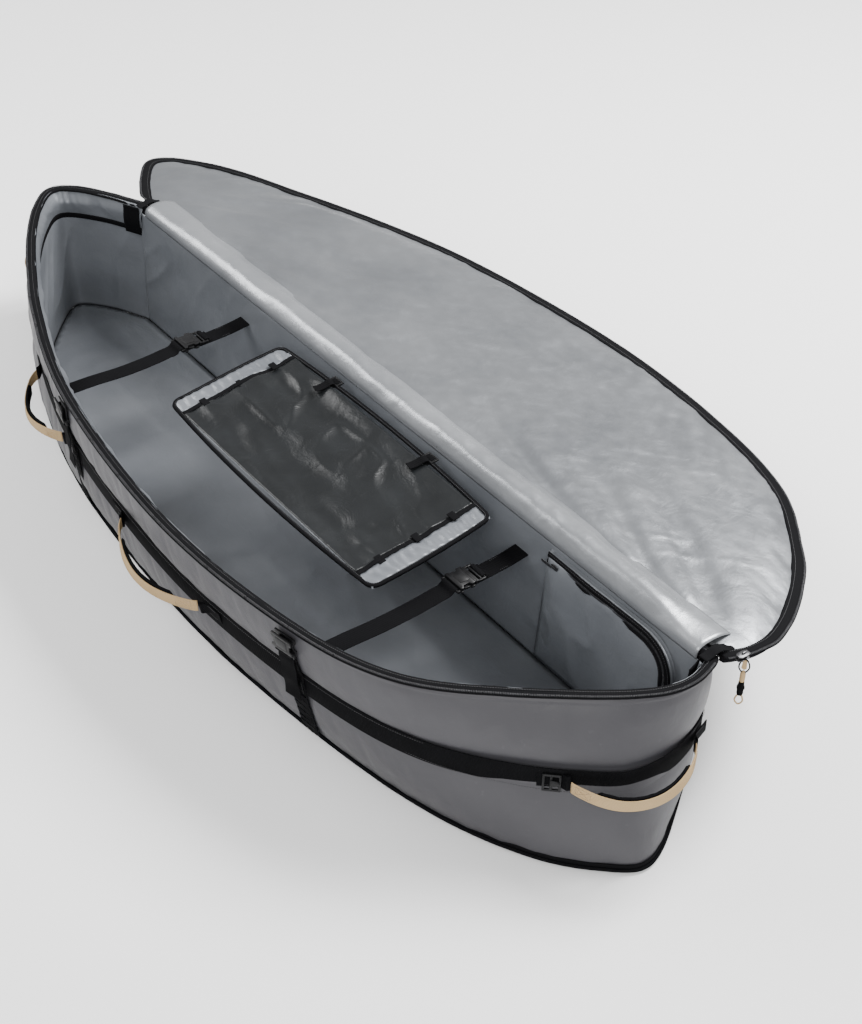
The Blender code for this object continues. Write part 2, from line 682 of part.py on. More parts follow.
for old in list(bpy.data.objects):
    bpy.data.objects.remove(old)
PARTS = bpy.data.collections.new("board_travel_bag")
CUTTERS = bpy.data.collections.new("cutters")
for collection in (PARTS, CUTTERS):
    bpy.context.scene.collection.children.link(collection)
MATERIALS = {
    "shell_grey": material("shell_grey", (0.150, 0.150, 0.165), 0.42),
    "lining_silver": material("lining_silver", (0.420, 0.430, 0.445), 0.34, 0.35),
    "foam": material("foam", (0.60, 0.60, 0.58), 0.9),
    "webbing_black": material("webbing_black", (0.012, 0.012, 0.013), 0.75),
    "webbing_tan": material("webbing_tan", (0.48, 0.38, 0.25), 0.8),
    "zip_tape": material("zip_tape", (0.010, 0.010, 0.011), 0.8),
    "zip_teeth": material("zip_teeth", (0.020, 0.020, 0.022), 0.35),
    "buckle_plastic": material("buckle_plastic", (0.010, 0.010, 0.011), 0.38),
    "mesh_dark": material("mesh_dark", (0.030, 0.034, 0.036), 0.6),
    "binding_black": material("binding_black", (0.011, 0.011, 0.012), 0.7),
    "slider_metal": material("slider_metal", (0.10, 0.10, 0.105), 0.35, 0.9),
}
make_bottom()
make_walls()
make_rim_zip()
make_hinge_roll()
make_load_band()
make_compression_straps()
make_tie_downs()
make_organiser()
make_pocket()
make_handles()
make_tail_hook()
make_lid()
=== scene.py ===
"""The looks of the board travel bag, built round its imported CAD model. Metres, in the CAD model's frame."""

import json
import math

import bmesh
import bpy
import numpy as np
from mathutils import Matrix, Vector
from mathutils.geometry import delaunay_2d_cdt

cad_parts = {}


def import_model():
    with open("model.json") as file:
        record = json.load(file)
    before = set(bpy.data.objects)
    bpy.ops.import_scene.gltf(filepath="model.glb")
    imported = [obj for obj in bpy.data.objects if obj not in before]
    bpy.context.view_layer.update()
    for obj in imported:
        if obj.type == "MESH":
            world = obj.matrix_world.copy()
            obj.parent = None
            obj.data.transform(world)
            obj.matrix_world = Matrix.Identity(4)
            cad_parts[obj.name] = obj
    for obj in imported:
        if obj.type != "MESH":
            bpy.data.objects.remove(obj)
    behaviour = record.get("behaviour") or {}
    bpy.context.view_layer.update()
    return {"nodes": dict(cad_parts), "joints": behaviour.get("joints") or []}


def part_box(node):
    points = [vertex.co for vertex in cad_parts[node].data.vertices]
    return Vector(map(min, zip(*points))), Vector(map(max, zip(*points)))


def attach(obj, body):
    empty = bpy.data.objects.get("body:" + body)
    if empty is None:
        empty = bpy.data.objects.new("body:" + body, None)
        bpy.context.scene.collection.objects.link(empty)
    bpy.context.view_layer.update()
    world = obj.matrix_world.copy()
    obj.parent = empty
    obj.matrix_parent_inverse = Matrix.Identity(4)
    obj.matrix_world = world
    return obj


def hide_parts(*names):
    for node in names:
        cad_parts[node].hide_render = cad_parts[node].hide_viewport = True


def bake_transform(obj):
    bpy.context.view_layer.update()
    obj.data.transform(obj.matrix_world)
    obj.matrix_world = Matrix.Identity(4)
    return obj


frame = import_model()
JOINTS = {joint["name"]: joint for joint in frame["joints"]}
PI = math.pi

# ------------------------------------------------------------------------------
# Places, all read from the CAD nodes


def node_points(name):
    mesh = frame["nodes"][name].data
    points = np.empty(len(mesh.vertices) * 3)
    mesh.vertices.foreach_get("co", points)
    return points.reshape(-1, 3)


def hull(points):
    """The convex outline of flat points, counter-clockwise."""
    points = sorted(set(map(tuple, np.round(points, 6))))

    def half(ordered):
        chain = []
        for p in ordered:
            while len(chain) > 1:
                (ax, ay), (bx, by) = chain[-2], chain[-1]
                if (bx - ax) * (p[1] - ay) - (by - ay) * (p[0] - ax) > 1e-9:
                    break
                chain.pop()
            chain.append(p)
        return chain[:-1]

    return np.array(half(points) + half(points[::-1]))


def outline_of(name, z):
    """A node's outline at height z, from the hinge's nose end round the near side to its tail end."""
    points = node_points(name)
    loop = hull(points[np.abs(points[:, 2] - z) < 2e-4][:, :2])
    on_hinge = np.flatnonzero(loop[:, 1] > loop[:, 1].max() - 0.002)
    first = on_hinge[np.argmin(loop[on_hinge, 0])]
    last = on_hinge[np.argmax(loop[on_hinge, 0])]
    loop = np.roll(loop, -first, axis=0)
    return loop[: (last - first) % len(loop) + 1]


def lengths(path):
    """How far along a path of points each of them is."""
    return np.concatenate([[0], np.cumsum(np.linalg.norm(np.diff(path, axis=0), axis=1))])


def unit(vectors):
    return vectors / np.linalg.norm(vectors, axis=1)[:, None]


def upward(count):
    return np.tile((0.0, 0.0, 1.0), (count, 1))


def moved(points, place):
    """Points of a piece's own frame, placed by a 4 x 4 matrix."""
    place = np.array(place)
    return np.asarray(points, float) @ place[:3, :3].T + place[:3, 3]


def spread(points, count):
    """Points at even steps along a smooth curve through the given ones."""
    at = lengths(points)
    want = np.linspace(0, at[-1], count)
    slope = np.gradient(points, at, axis=0)
    i = np.clip(np.searchsorted(at, want, "right") - 1, 0, len(at) - 2)
    h = (at[i + 1] - at[i])[:, None]
    t = ((want - at[i]) / h[:, 0])[:, None]
    return (
        points[i] * (2 * t**3 - 3 * t**2 + 1)
        + slope[i] * h * (t**3 - 2 * t**2 + t)
        + points[i + 1] * (3 * t**2 - 2 * t**3)
        + slope[i + 1] * h * (t**3 - t**2)
    )


RIM_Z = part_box("side_wall_skin")[1][2]
WALL = 0.0159  # skin, foam and lining together
HANDLE_END_OUT = 0.017
SIDE_COUNT, HINGE_COUNT = 520, 260
COUNT = SIDE_COUNT + HINGE_COUNT
LID_OPEN = math.radians(JOINTS["lid_hinge"]["range_deg"][1])
HINGE = Vector(JOINTS["lid_hinge"]["pos_m"])
BAND_LOW, BAND_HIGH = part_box("load_band")[0][2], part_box("load_band")[1][2]
LIP_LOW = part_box("rim_lip")[0][2]
BULGE = 0.006  # how far the wall bows out at mid height
FOOT_SEAM, ZIP_SEAM = 0.004, RIM_Z - 0.013  # heights of the skin's bottom and top seams
STRAP_WIDTH, WEBBING = 0.038, 0.0018
COIL_PITCH, COIL_TOOTH = 0.0027, (0.0019, 0.0042, 0.0022)  # a tooth's length, width and height
SEAM_PITCH = 0.0042
CLOTH_FRAMES = 20


def closed_loop(name, z):
    side = spread(outline_of(name, z), SIDE_COUNT)
    along = np.linspace(0, 1, HINGE_COUNT + 2)[1:-1, None]
    loop = np.concatenate([side, side[-1] + (side[0] - side[-1]) * along])
    for _ in range(6):
        loop = 0.5 * loop + 0.25 * (np.roll(loop, 1, axis=0) + np.roll(loop, -1, axis=0))
    return loop


RIM = closed_loop("side_wall_skin", RIM_Z)
FLOOR = closed_loop("bottom_skin", 0.0)
AROUND = lengths(RIM)


def normals_of(loop):
    ahead = unit(np.roll(loop, -1, axis=0) - np.roll(loop, 1, axis=0))
    return np.column_stack([ahead[:, 1], -ahead[:, 0]])


def wall_ring(z, out):
    """The tub's wall at height z, moved outward. z and out may vary along it."""
    z = np.broadcast_to(np.asarray(z, float), (COUNT,))
    out = np.broadcast_to(np.asarray(out, float), (COUNT,))
    level = np.clip(z / RIM_Z, 0, 1)[:, None]
    loop = FLOOR + (RIM - FLOOR) * level
    stand = out + BULGE * np.sin(PI * level[:, 0]) ** 0.8
    loop = loop + normals_of(loop) * stand[:, None]
    return np.column_stack([loop, z])


def wall_index(x, z=0.15):
    """The station on the near side where the wall passes x."""
    ring = wall_ring(z, 0)[:SIDE_COUNT]
    near = np.flatnonzero(ring[:, 1] < 0.03)
    return int(near[np.argmin(np.abs(ring[near, 0] - x))])


# ------------------------------------------------------------------------------
# Noise and shapes


def lattice(ix, iy, seed):
    h = (ix.astype(np.int64) * 374761393 + iy.astype(np.int64) * 668265263 + seed * 2147483647) & 0xFFFFFFFF
    h = ((h ^ (h >> 13)) * 1274126177) & 0xFFFFFFFF
    return ((h ^ (h >> 16)) & 0xFFFF) / 32767.5 - 1


def noise(x, y, seed=0):
    """Smooth noise from -1 to 1, with features one unit across."""
    x, y = np.broadcast_arrays(np.asarray(x, float), np.asarray(y, float))
    ix, iy = np.floor(x), np.floor(y)
    fx, fy = x - ix, y - iy
    fx, fy = fx**3 * (fx * (6 * fx - 15) + 10), fy**3 * (fy * (6 * fy - 15) + 10)
    low = lattice(ix, iy, seed) * (1 - fx) + lattice(ix + 1, iy, seed) * fx
    high = lattice(ix, iy + 1, seed) * (1 - fx) + lattice(ix + 1, iy + 1, seed) * fx
    return low * (1 - fy) + high * fy


def creases(x, y, seed=0):
    """Folds: sharp ridges between smooth hollows, about -1 to 1."""
    bent = x + 0.6 * noise(x * 0.5, y * 0.5, seed + 7)
    return 1 - 2 * np.abs(noise(bent, y, seed)) ** 0.7


def smoothstep(low, high, value):
    t = np.clip((value - low) / (high - low), 0, 1)
    return t * t * (3 - 2 * t)


def new_object(name, verts, faces, uv=None, smooth=True):
    mesh = bpy.data.meshes.new(name)
    mesh.from_pydata([tuple(map(float, v)) for v in verts], [], [tuple(map(int, f)) for f in faces])
    if uv is not None:
        layer = mesh.uv_layers.new(name="UVMap")
        index = np.empty(len(mesh.loops), np.int32)
        mesh.loops.foreach_get("vertex_index", index)
        layer.data.foreach_set("uv", np.asarray(uv, np.float32)[index].ravel())
    mesh.update()
    if smooth:
        mesh.shade_smooth()
    made = bpy.data.objects.new(name, mesh)
    bpy.context.scene.collection.objects.link(made)
    return made


def finish_piece(made, material, body="tub", replaces=(), slot=None):
    made.data.materials.clear()
    made.data.materials.append(material)
    if body:
        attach(made, body)
    if replaces:
        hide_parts(*replaces)
    return made


def quads_of(rows, columns, ring=False, round_section=False):
    """The faces of a grid of points. ring joins its last row to its first, round_section its last column."""
    shape = (rows - (not ring), columns - (not round_section))
    i, j = np.meshgrid(np.arange(shape[0]), np.arange(shape[1]), indexing="ij")
    k, m = (i + 1) % rows, (j + 1) % columns
    corners = (i * columns + j, k * columns + j, k * columns + m, i * columns + m)
    return np.stack(corners, axis=-1).reshape(-1, 4)


def uv_of(along, across):
    return np.stack(np.meshgrid(along, across, indexing="ij"), axis=-1).reshape(-1, 2)


def grid(name, points, closed=False, thickness=0.0, outward=1, flip=False):
    """A sheet through a grid of points, with a UV map in metres. closed joins its last row to its first."""
    points = np.asarray(points, float)
    rows, columns = points.shape[:2]
    along = np.linalg.norm(np.diff(points, axis=0), axis=2).mean(axis=1)
    across = np.linalg.norm(np.diff(points, axis=1), axis=2).mean(axis=0)
    u = np.concatenate([[0], np.cumsum(along)])
    v = np.concatenate([[0], np.cumsum(across)])
    quads = quads_of(rows, columns, closed)
    if flip:
        quads = quads[:, ::-1]
    made = new_object(name, points.reshape(-1, 3), quads, uv_of(u, v))
    if thickness:
        add_thickness(made, thickness, outward)
    return made


def add_thickness(made, thickness, outward=0):
    thicken = made.modifiers.new("Thickness", "SOLIDIFY")
    thicken.thickness = thickness
    thicken.offset = outward
    thicken.use_even_offset = False
    return made


def smoothed(values, edges, rounds):
    """Values at a mesh's points, averaged with their neighbours' again and again."""
    a, b = edges.T
    count = np.bincount(edges.ravel(), minlength=len(values)).astype(float)
    for _ in range(rounds):
        total = np.bincount(a, values[b], len(values)) + np.bincount(b, values[a], len(values))
        values = 0.4 * values + 0.6 * total / np.maximum(count, 1)
    return values


def sewn_cloth(points, faces, pinned, slack, pressure=4.0, cap=0.010, fine=1.0, bending=0.4, rounds=40):
    """How far each point of a padded sheet, pinned along its seams, moves out along its normal.

    Blender's cloth is run on a copy. The broad swell is held under the cap, and its wrinkles are kept.
    """
    made = new_object("cloth_to_simulate", points, faces)
    group = made.vertex_groups.new(name="seams")
    group.add([int(i) for i in np.flatnonzero(pinned)], 1.0, "REPLACE")
    cloth = made.modifiers.new("Cloth", "CLOTH")
    cloth.settings.quality = 5
    cloth.settings.mass = 0.25
    for kind in ("tension", "compression", "shear"):
        setattr(cloth.settings, f"{kind}_stiffness", 12)
    cloth.settings.bending_stiffness = bending
    cloth.settings.shrink_min = -slack
    cloth.settings.use_pressure = True
    cloth.settings.uniform_pressure_force = pressure
    cloth.settings.vertex_group_mass = group.name
    cloth.settings.effector_weights.gravity = 0
    cloth.collision_settings.use_collision = False
    cloth.point_cache.frame_start, cloth.point_cache.frame_end = 1, CLOTH_FRAMES
    for frame_number in range(1, CLOTH_FRAMES + 1):
        bpy.context.scene.frame_set(frame_number)
    graph = bpy.context.evaluated_depsgraph_get()
    mesh = made.evaluated_get(graph).to_mesh()
    after = np.empty(len(points) * 3)
    mesh.vertices.foreach_get("co", after)
    normals = np.empty(len(points) * 3)
    made.data.vertices.foreach_get("normal", normals)
    edges = np.empty(len(made.data.edges) * 2, int)
    made.data.edges.foreach_get("vertices", edges)
    move = ((after.reshape(-1, 3) - np.asarray(points)) * normals.reshape(-1, 3)).sum(axis=1)
    bpy.data.objects.remove(made)
    bpy.context.scene.frame_set(1)
    edges = edges.reshape(-1, 2)
    broad = smoothed(move, edges, rounds)
    wrinkles = np.clip((move - broad) * fine, -0.6 * cap, 0.6 * cap)
    move = cap * np.tanh(broad / cap) + wrinkles
    move[np.asarray(pinned)] = 0
    return smoothed(move, edges, 1) * ~np.asarray(pinned)


def subdivide(made):
    finer = made.modifiers.new("Subdivision", "SUBSURF")
    finer.levels = finer.render_levels = 1
    finer.boundary_smooth = "PRESERVE_CORNERS"
    return made


def tube(name, path, profile, normals, ups, closed=False):
    """A closed section, as (out, up) points, carried along a path with its own directions."""
    path, normals, ups = (np.asarray(a, float) for a in (path, normals, ups))
    rows = [path + normals * a + ups * b for a, b in profile]
    points = np.stack(rows, axis=1)
    count, sides = points.shape[:2]
    return skinned(name, points.reshape(-1, 3), count, sides, uv_of(lengths(path), lengths(profile)), closed)


def skinned(name, points, count, sides, uv, closed=False):
    """Faces over rings of points, with end caps unless the rings close on themselves."""
    faces = [tuple(q[[0, 3, 2, 1]]) for q in quads_of(count, sides, closed, True)]
    if not closed:
        faces += [tuple(range(sides))[::-1], tuple((count - 1) * sides + s for s in range(sides))]
    made = new_object(name, points, faces, uv)
    fix_normals(made)
    return made


def fix_normals(made):
    bm = bmesh.new()
    bm.from_mesh(made.data)
    bmesh.ops.recalc_face_normals(bm, faces=bm.faces)
    bm.to_mesh(made.data)
    bm.free()


def circle(radius, sides=10, squash=1.0):
    return [(radius * math.cos(a), radius * squash * math.sin(a)) for a in np.arange(sides) * 2 * PI / sides]


def webbing_profile(width, thickness):
    """A strap's section: flat faces and rounded edges, as (out, up) points."""
    half, t = width / 2, thickness / 2
    edge = [(t * math.sin(a), half - t + t * math.cos(a)) for a in np.linspace(PI / 2, -PI / 2, 5)]
    inner = [(-x, -y) for x, y in edge]
    return edge + inner


def filled(outline, spacing):
    """A triangle mesh of a flat outline: (points, faces), with the outline's points first."""
    outline = np.asarray(outline, float)
    low, high = outline.min(axis=0), outline.max(axis=0)
    rows = np.arange(low[1], high[1], spacing * 0.866)
    points = []
    for n, y in enumerate(rows):
        xs = np.arange(low[0] + (n % 2) * spacing / 2, high[0], spacing)
        points.append(np.column_stack([xs, np.full(len(xs), y)]))
    points = np.concatenate(points)
    inside, distance, _ = to_edge(points, outline)
    points = points[inside & (distance > 0.6 * spacing)]
    every = np.concatenate([outline, points])
    count = len(outline)
    edges = [(i, (i + 1) % count) for i in range(count)]
    verts, _, faces, *_ = delaunay_2d_cdt([Vector(p) for p in every], edges, [], 1, 1e-6)
    return np.array([tuple(v) for v in verts]), faces


def to_edge(points, outline):
    """For flat points: whether each is inside the outline, its distance to it, and how far round that is."""
    points, outline = np.asarray(points, float), np.asarray(outline, float)
    ahead = np.roll(outline, -1, axis=0)
    step = ahead - outline
    length = np.linalg.norm(step, axis=1)
    start = np.concatenate([[0], np.cumsum(length)])[:-1]
    inside = np.zeros(len(points), bool)
    best = np.full(len(points), np.inf)
    place = np.zeros(len(points))
    for a, s, l, s0 in zip(outline, step, length, start):
        crosses = (a[1] > points[:, 1]) != (a[1] + s[1] > points[:, 1])
        rise = s[1] if abs(s[1]) > 1e-12 else 1e-12
        inside ^= crosses & (points[:, 0] < a[0] + (points[:, 1] - a[1]) * s[0] / rise)
        t = np.clip(((points - a) @ s) / l**2, 0, 1)
        d = np.linalg.norm(points - a - t[:, None] * s, axis=1)
        closer = d < best
        best = np.where(closer, d, best)
        place = np.where(closer, s0 + t * l, place)
    return inside, best, place


# ------------------------------------------------------------------------------
# Materials


class Nodes:
    """Short names for building a material's nodes."""

    def __init__(self, name):
        self.material = bpy.data.materials.new(name)
        self.material.use_nodes = True
        self.tree = self.material.node_tree
        self.shader = self.tree.nodes["Principled BSDF"]
        self.uv = self.tree.nodes.new("ShaderNodeUVMap").outputs[0]
        self.place = self.tree.nodes.new("ShaderNodeTexCoord").outputs["Object"]

    def put(self, node, values):
        for key, value in values.items():
            socket = node.inputs[key]
            if isinstance(value, bpy.types.NodeSocket):
                self.tree.links.new(value, socket)
            else:
                socket.default_value = value
        return node

    def scaled(self, vector, scale):
        node = self.tree.nodes.new("ShaderNodeVectorMath")
        node.operation = "MULTIPLY"
        self.put(node, {0: vector, 1: scale})
        return node.outputs[0]

    def noise(self, vector, scale, detail=2.0, roughness=0.5, distortion=0.0):
        node = self.tree.nodes.new("ShaderNodeTexNoise")
        self.put(node, {"Vector": vector, "Scale": scale, "Detail": detail, "Roughness": roughness})
        node.inputs["Distortion"].default_value = distortion
        return node.outputs[0]

    def wave(self, vector, scale, direction="X", distortion=0.0):
        node = self.tree.nodes.new("ShaderNodeTexWave")
        node.bands_direction = direction
        self.put(node, {"Vector": vector, "Scale": scale, "Distortion": distortion})
        return node.outputs["Fac"]

    def math(self, operation, a, b=0.0):
        node = self.tree.nodes.new("ShaderNodeMath")
        node.operation = operation
        self.put(node, {0: a, 1: b})
        return node.outputs[0]

    def ramp(self, value, low, high, start=0.0, end=1.0):
        """The value spread from low..high to start..end."""
        node = self.tree.nodes.new("ShaderNodeMapRange")
        self.put(node, {"Value": value, "From Min": low, "From Max": high, "To Min": start, "To Max": end})
        return node.outputs[0]

    def mix(self, factor, a, b):
        node = self.tree.nodes.new("ShaderNodeMix")
        node.data_type = "RGBA"
        for socket, value in ((node.inputs[0], factor), (node.inputs[6], a), (node.inputs[7], b)):
            if isinstance(value, bpy.types.NodeSocket):
                self.tree.links.new(value, socket)
            elif hasattr(value, "__len__"):
                socket.default_value = (*value, 1)
            else:
                socket.default_value = value
        return node.outputs[2]

    def bump(self, height, strength, distance, below=None):
        node = self.tree.nodes.new("ShaderNodeBump")
        self.put(node, {"Height": height, "Strength": strength, "Distance": distance})
        if below is not None:
            self.tree.links.new(below, node.inputs["Normal"])
        return node.outputs[0]

    def finish(self, **values):
        for key, value in values.items():
            self.put(self.shader, {key.replace("_", " "): value})
        return self.material


def weave(n, pitch, strength, distance, below=None):
    """A plain weave of threads, pitch apart, as a bump."""
    per_metre = PI / 10 / pitch
    warp = n.wave(n.uv, per_metre, "X")
    weft = n.wave(n.uv, per_metre, "Y")
    return n.bump(n.math("MAXIMUM", warp, weft), strength, distance, below)


def make_tarpaulin():
    """Coated polyester: a faint weave under a satin coating, with scuffs and soft colour variation."""
    n = Nodes("tarpaulin_grey")
    broad = n.noise(n.place, 3.0, 3)
    colour = n.mix(n.ramp(broad, 0.35, 0.7), (0.040, 0.039, 0.044), (0.056, 0.055, 0.061))
    scuff = n.noise(n.place, 55.0, 5, 0.7)
    colour = n.mix(n.ramp(scuff, 0.62, 0.85, 0, 0.18), colour, (0.20, 0.20, 0.21))
    grain = n.bump(n.noise(n.place, 900.0, 2), 0.10, 0.0004, weave(n, 0.0011, 0.16, 0.0003))
    rumple = n.bump(n.noise(n.place, 24.0, 4, 0.55, 0.4), 0.22, 0.006, grain)
    rough = n.ramp(broad, 0.3, 0.7, 0.42, 0.52)
    return n.finish(Base_Color=colour, Roughness=rough, Normal=rumple, Specular_IOR_Level=0.4)


def make_lining(name, bright, dull, roughness=0.36, metallic=0.72):
    """Silver film over a thin weave: satin metal, finely crinkled."""
    n = Nodes(name)
    broad = n.noise(n.place, 4.0, 3)
    flecks = n.noise(n.scaled(n.uv, (60, 900, 1)), 1.0, 2)
    colour = n.mix(n.ramp(broad, 0.3, 0.7), dull, bright)
    colour = n.mix(n.ramp(flecks, 0.62, 0.8, 0, 0.35), colour, tuple(min(1, c * 1.25) for c in bright))
    grain = weave(n, 0.0013, 0.10, 0.0003)
    crinkle = n.bump(n.noise(n.place, 70.0, 3, 0.5, 0.8), 0.16, 0.0016, grain)
    folds = n.bump(n.noise(n.place, 16.0, 3, 0.5, 0.6), 0.22, 0.009, crinkle)
    rough = n.ramp(n.noise(n.place, 30.0, 3), 0.3, 0.7, roughness - 0.05, roughness + 0.08)
    return n.finish(Base_Color=colour, Roughness=rough, Metallic=metallic, Normal=folds)


def make_webbing(name, colour, light, pitch=0.0022):
    """Woven webbing: ribs across its width and thread grain."""
    n = Nodes(name)
    ribs = n.wave(n.scaled(n.uv, (1, 0.35, 1)), PI / 10 / pitch, "DIAGONAL")
    threads = n.noise(n.scaled(n.uv, (700, 2400, 1)), 1.0, 2)
    blotch = n.noise(n.place, 25.0, 3)
    shade = n.mix(n.ramp(threads, 0.3, 0.7), colour, light)
    shade = n.mix(n.ramp(blotch, 0.3, 0.75, 0, 0.3), shade, colour)
    normal = n.bump(threads, 0.35, 0.0003, n.bump(ribs, 0.55, 0.0006))
    return n.finish(Base_Color=shade, Roughness=0.78, Normal=normal, Specular_IOR_Level=0.03)


def make_tape():
    n = Nodes("zip_tape_black")
    herring = n.wave(n.uv, PI / 10 / 0.0013, "DIAGONAL")
    threads = n.noise(n.scaled(n.uv, (1500, 1500, 1)), 1.0, 2)
    colour = n.mix(threads, (0.003, 0.003, 0.0035), (0.011, 0.011, 0.012))
    return n.finish(Base_Color=colour, Roughness=0.8, Normal=n.bump(herring, 0.5, 0.0004),
                    Specular_IOR_Level=0.03)


def make_plastic(name, colour, roughness=0.38):
    """Moulded acetal: fine spark texture, colour and roughness varying a little at random."""
    n = Nodes(name)
    fine = n.noise(n.place, 1400.0, 2)
    broad = n.noise(n.place, 60.0, 3)
    shade = n.mix(n.ramp(broad, 0.3, 0.8), colour, tuple(c * 1.7 for c in colour))
    rough = n.ramp(broad, 0.3, 0.7, roughness - 0.05, roughness + 0.08)
    return n.finish(Base_Color=shade, Roughness=rough, Normal=n.bump(fine, 0.12, 0.0002),
                    Specular_IOR_Level=0.22)


def make_metal():
    n = Nodes("slider_dark_metal")
    broad = n.noise(n.place, 300.0, 4)
    shade = n.mix(n.ramp(broad, 0.3, 0.8), (0.055, 0.055, 0.058), (0.12, 0.12, 0.125))
    return n.finish(Base_Color=shade, Roughness=n.ramp(broad, 0.2, 0.8, 0.25, 0.42), Metallic=0.9)


def make_mesh():
    """Dark knitted mesh: small round holes between threads, with the silver backing glinting through."""
    n = Nodes("mesh_dark_knit")
    pitch = 0.0028
    a = n.wave(n.uv, PI / 10 / pitch, "X")
    b = n.wave(n.uv, PI / 10 / pitch, "Y")
    holes = n.ramp(n.math("MULTIPLY", a, b), 0.35, 0.65)
    patch = n.noise(n.place, 14.0, 3)
    thread = n.mix(n.ramp(patch, 0.3, 0.7), (0.003, 0.0035, 0.004), (0.008, 0.009, 0.010))
    colour = n.mix(n.ramp(holes, 0, 1, 0, 0.5), thread, (0.018, 0.021, 0.023))
    folds = n.bump(n.noise(n.place, 18.0, 4, 0.55, 0.8), 0.35, 0.008, n.bump(holes, -0.6, 0.0008))
    return n.finish(Base_Color=colour, Roughness=0.36, Normal=folds, Specular_IOR_Level=0.30)


def make_thread(name, colour):
    n = Nodes(name)
    twist = n.noise(n.place, 2500.0, 2)
    return n.finish(Base_Color=n.mix(twist, colour, tuple(min(1, c * 1.6 + 0.01) for c in colour)),
                    Roughness=0.6)


M = {
    "tarp": make_tarpaulin(),
    # The wall lining is the lid's silver with darker colours: painted shade inside the tub. The lip, floor,
    # organiser and pocket use it too.
    "lining": make_lining("lining_silver_wall_painted_shade", (0.18, 0.19, 0.206), (0.120, 0.129, 0.143), 0.40, 0.28),
    "lid_lining": make_lining("lining_silver_lid", (0.21, 0.218, 0.230), (0.145, 0.152, 0.163), 0.34, 0.55),
    # The roll's lining is the lid's silver with lighter colours: a painted highlight along the hinge roll.
    "roll": make_lining("lining_silver_roll_painted_highlight", (0.30, 0.31, 0.325), (0.20, 0.208, 0.22), 0.32, 0.50),
    "black": make_webbing("webbing_black_woven", (0.002, 0.002, 0.0023), (0.008, 0.008, 0.009)),
    "tan": make_webbing("webbing_tan_woven", (0.33, 0.225, 0.115), (0.49, 0.365, 0.21)),
    "tape": make_tape(),
    "teeth": make_plastic("zip_teeth_plastic", (0.020, 0.020, 0.022), 0.30),
    "plastic": make_plastic("buckle_black_plastic", (0.005, 0.005, 0.0055)),
    "metal": make_metal(),
    "mesh": make_mesh(),
    "binding": make_webbing("binding_black_tape", (0.003, 0.003, 0.0035), (0.009, 0.009, 0.010), 0.0013),
    "thread_dark": make_thread("thread_dark", (0.02, 0.02, 0.022)),
    "thread_tan": make_thread("thread_tan", (0.30, 0.22, 0.13)),
}

# ------------------------------------------------------------------------------
# Tub


def pillow(z):
    """How far the outer skin puffs out between its seams, at height z."""
    low = np.sin(PI * np.clip((z - 0.006) / (BAND_LOW - 0.006), 0, 1)) ** 0.6 * 0.0055
    high = np.sin(PI * np.clip((z - BAND_HIGH) / (RIM_Z - 0.014 - BAND_HIGH), 0, 1)) ** 0.6 * 0.0050
    welt = 0.0016 * np.exp(-(((z - ZIP_SEAM) / 0.0022) ** 2))
    return low + high + welt


def seam_distance(z):
    seams = np.array([FOOT_SEAM, BAND_LOW, BAND_HIGH, ZIP_SEAM])
    return np.abs(np.asarray(z)[..., None] - seams).min(axis=-1)


def tub_cloth():
    """The simulated swell of the tub's skin between its seams, as a function of height."""
    heights = np.linspace(FOOT_SEAM, ZIP_SEAM, 34)
    stations = np.arange(0, COUNT, 3)
    points = np.stack([wall_ring(z, pillow(z) * 0.6)[stations] for z in heights], axis=1)
    rows, columns = points.shape[:2]
    faces = quads_of(rows, columns, True)
    sewn = (seam_distance(heights) < 0.006) | ((heights > BAND_LOW) & (heights < BAND_HIGH))
    pinned = np.tile(sewn, rows)
    move = sewn_cloth(points.reshape(-1, 3), faces, pinned, 0.014, cap=0.004, fine=1.2,
                      rounds=12).reshape(rows, columns)

    def at(z):
        column = np.array([np.interp(z, heights, row) for row in move])
        return np.interp(np.arange(COUNT), np.append(stations, COUNT), np.append(column, column[0]))

    return at


def make_tub_skin():
    """The outer skin, all round: padded between the piping, the load band and the zip."""
    heights = np.concatenate([np.linspace(0.003, RIM_Z - 0.018, 58),
                              np.linspace(RIM_Z - 0.0165, RIM_Z + 0.0002, 12)])
    rows = []
    slack = np.interp(RIM[:, 0], [-1.1, -0.5, 0.1, 0.6, 1.0], [1.0, 0.9, 0.6, 0.30, 0.22])
    swell = tub_cloth()
    for z in heights:
        near = np.exp(-seam_distance(z) / 0.014)
        puckers = noise(AROUND / 0.030, z / 0.08, 3) * 0.0012 * near
        folds = noise(AROUND / 0.16 + z * 2.2, z / 0.10, 5) * 0.0034 + creases(AROUND / 0.11 + z * 3.0,
            z / 0.12, 11) * 0.0014
        out = pillow(z) + (puckers + folds * (1 - 0.7 * near)) * slack + swell(z) * (0.35 + 0.65 * slack)
        rows.append(wall_ring(z, out))
    points = np.stack(rows, axis=1)
    skin = grid("tub_skin", points, closed=True, thickness=0.0012, outward=-1)
    finish_piece(skin, M["tarp"], replaces=("side_wall_skin", "side_wall_foam", "hinge_wall_skin",
                                            "hinge_wall_foam"), slot="shell_grey")
    return skin


def ring_tube(name, z, out, profile, material, first=0, last=COUNT, **ends):
    """A section carried round the tub, between two stations or all the way."""
    path = wall_ring(z, out)
    flat = normals_of(path[:, :2])
    normals = np.column_stack([flat, np.zeros(COUNT)])
    ups = upward(COUNT)
    closed = last - first >= COUNT
    made = tube(name, path[first:last], profile, normals[first:last], ups[first:last], closed)
    return finish_piece(made, material, **ends)


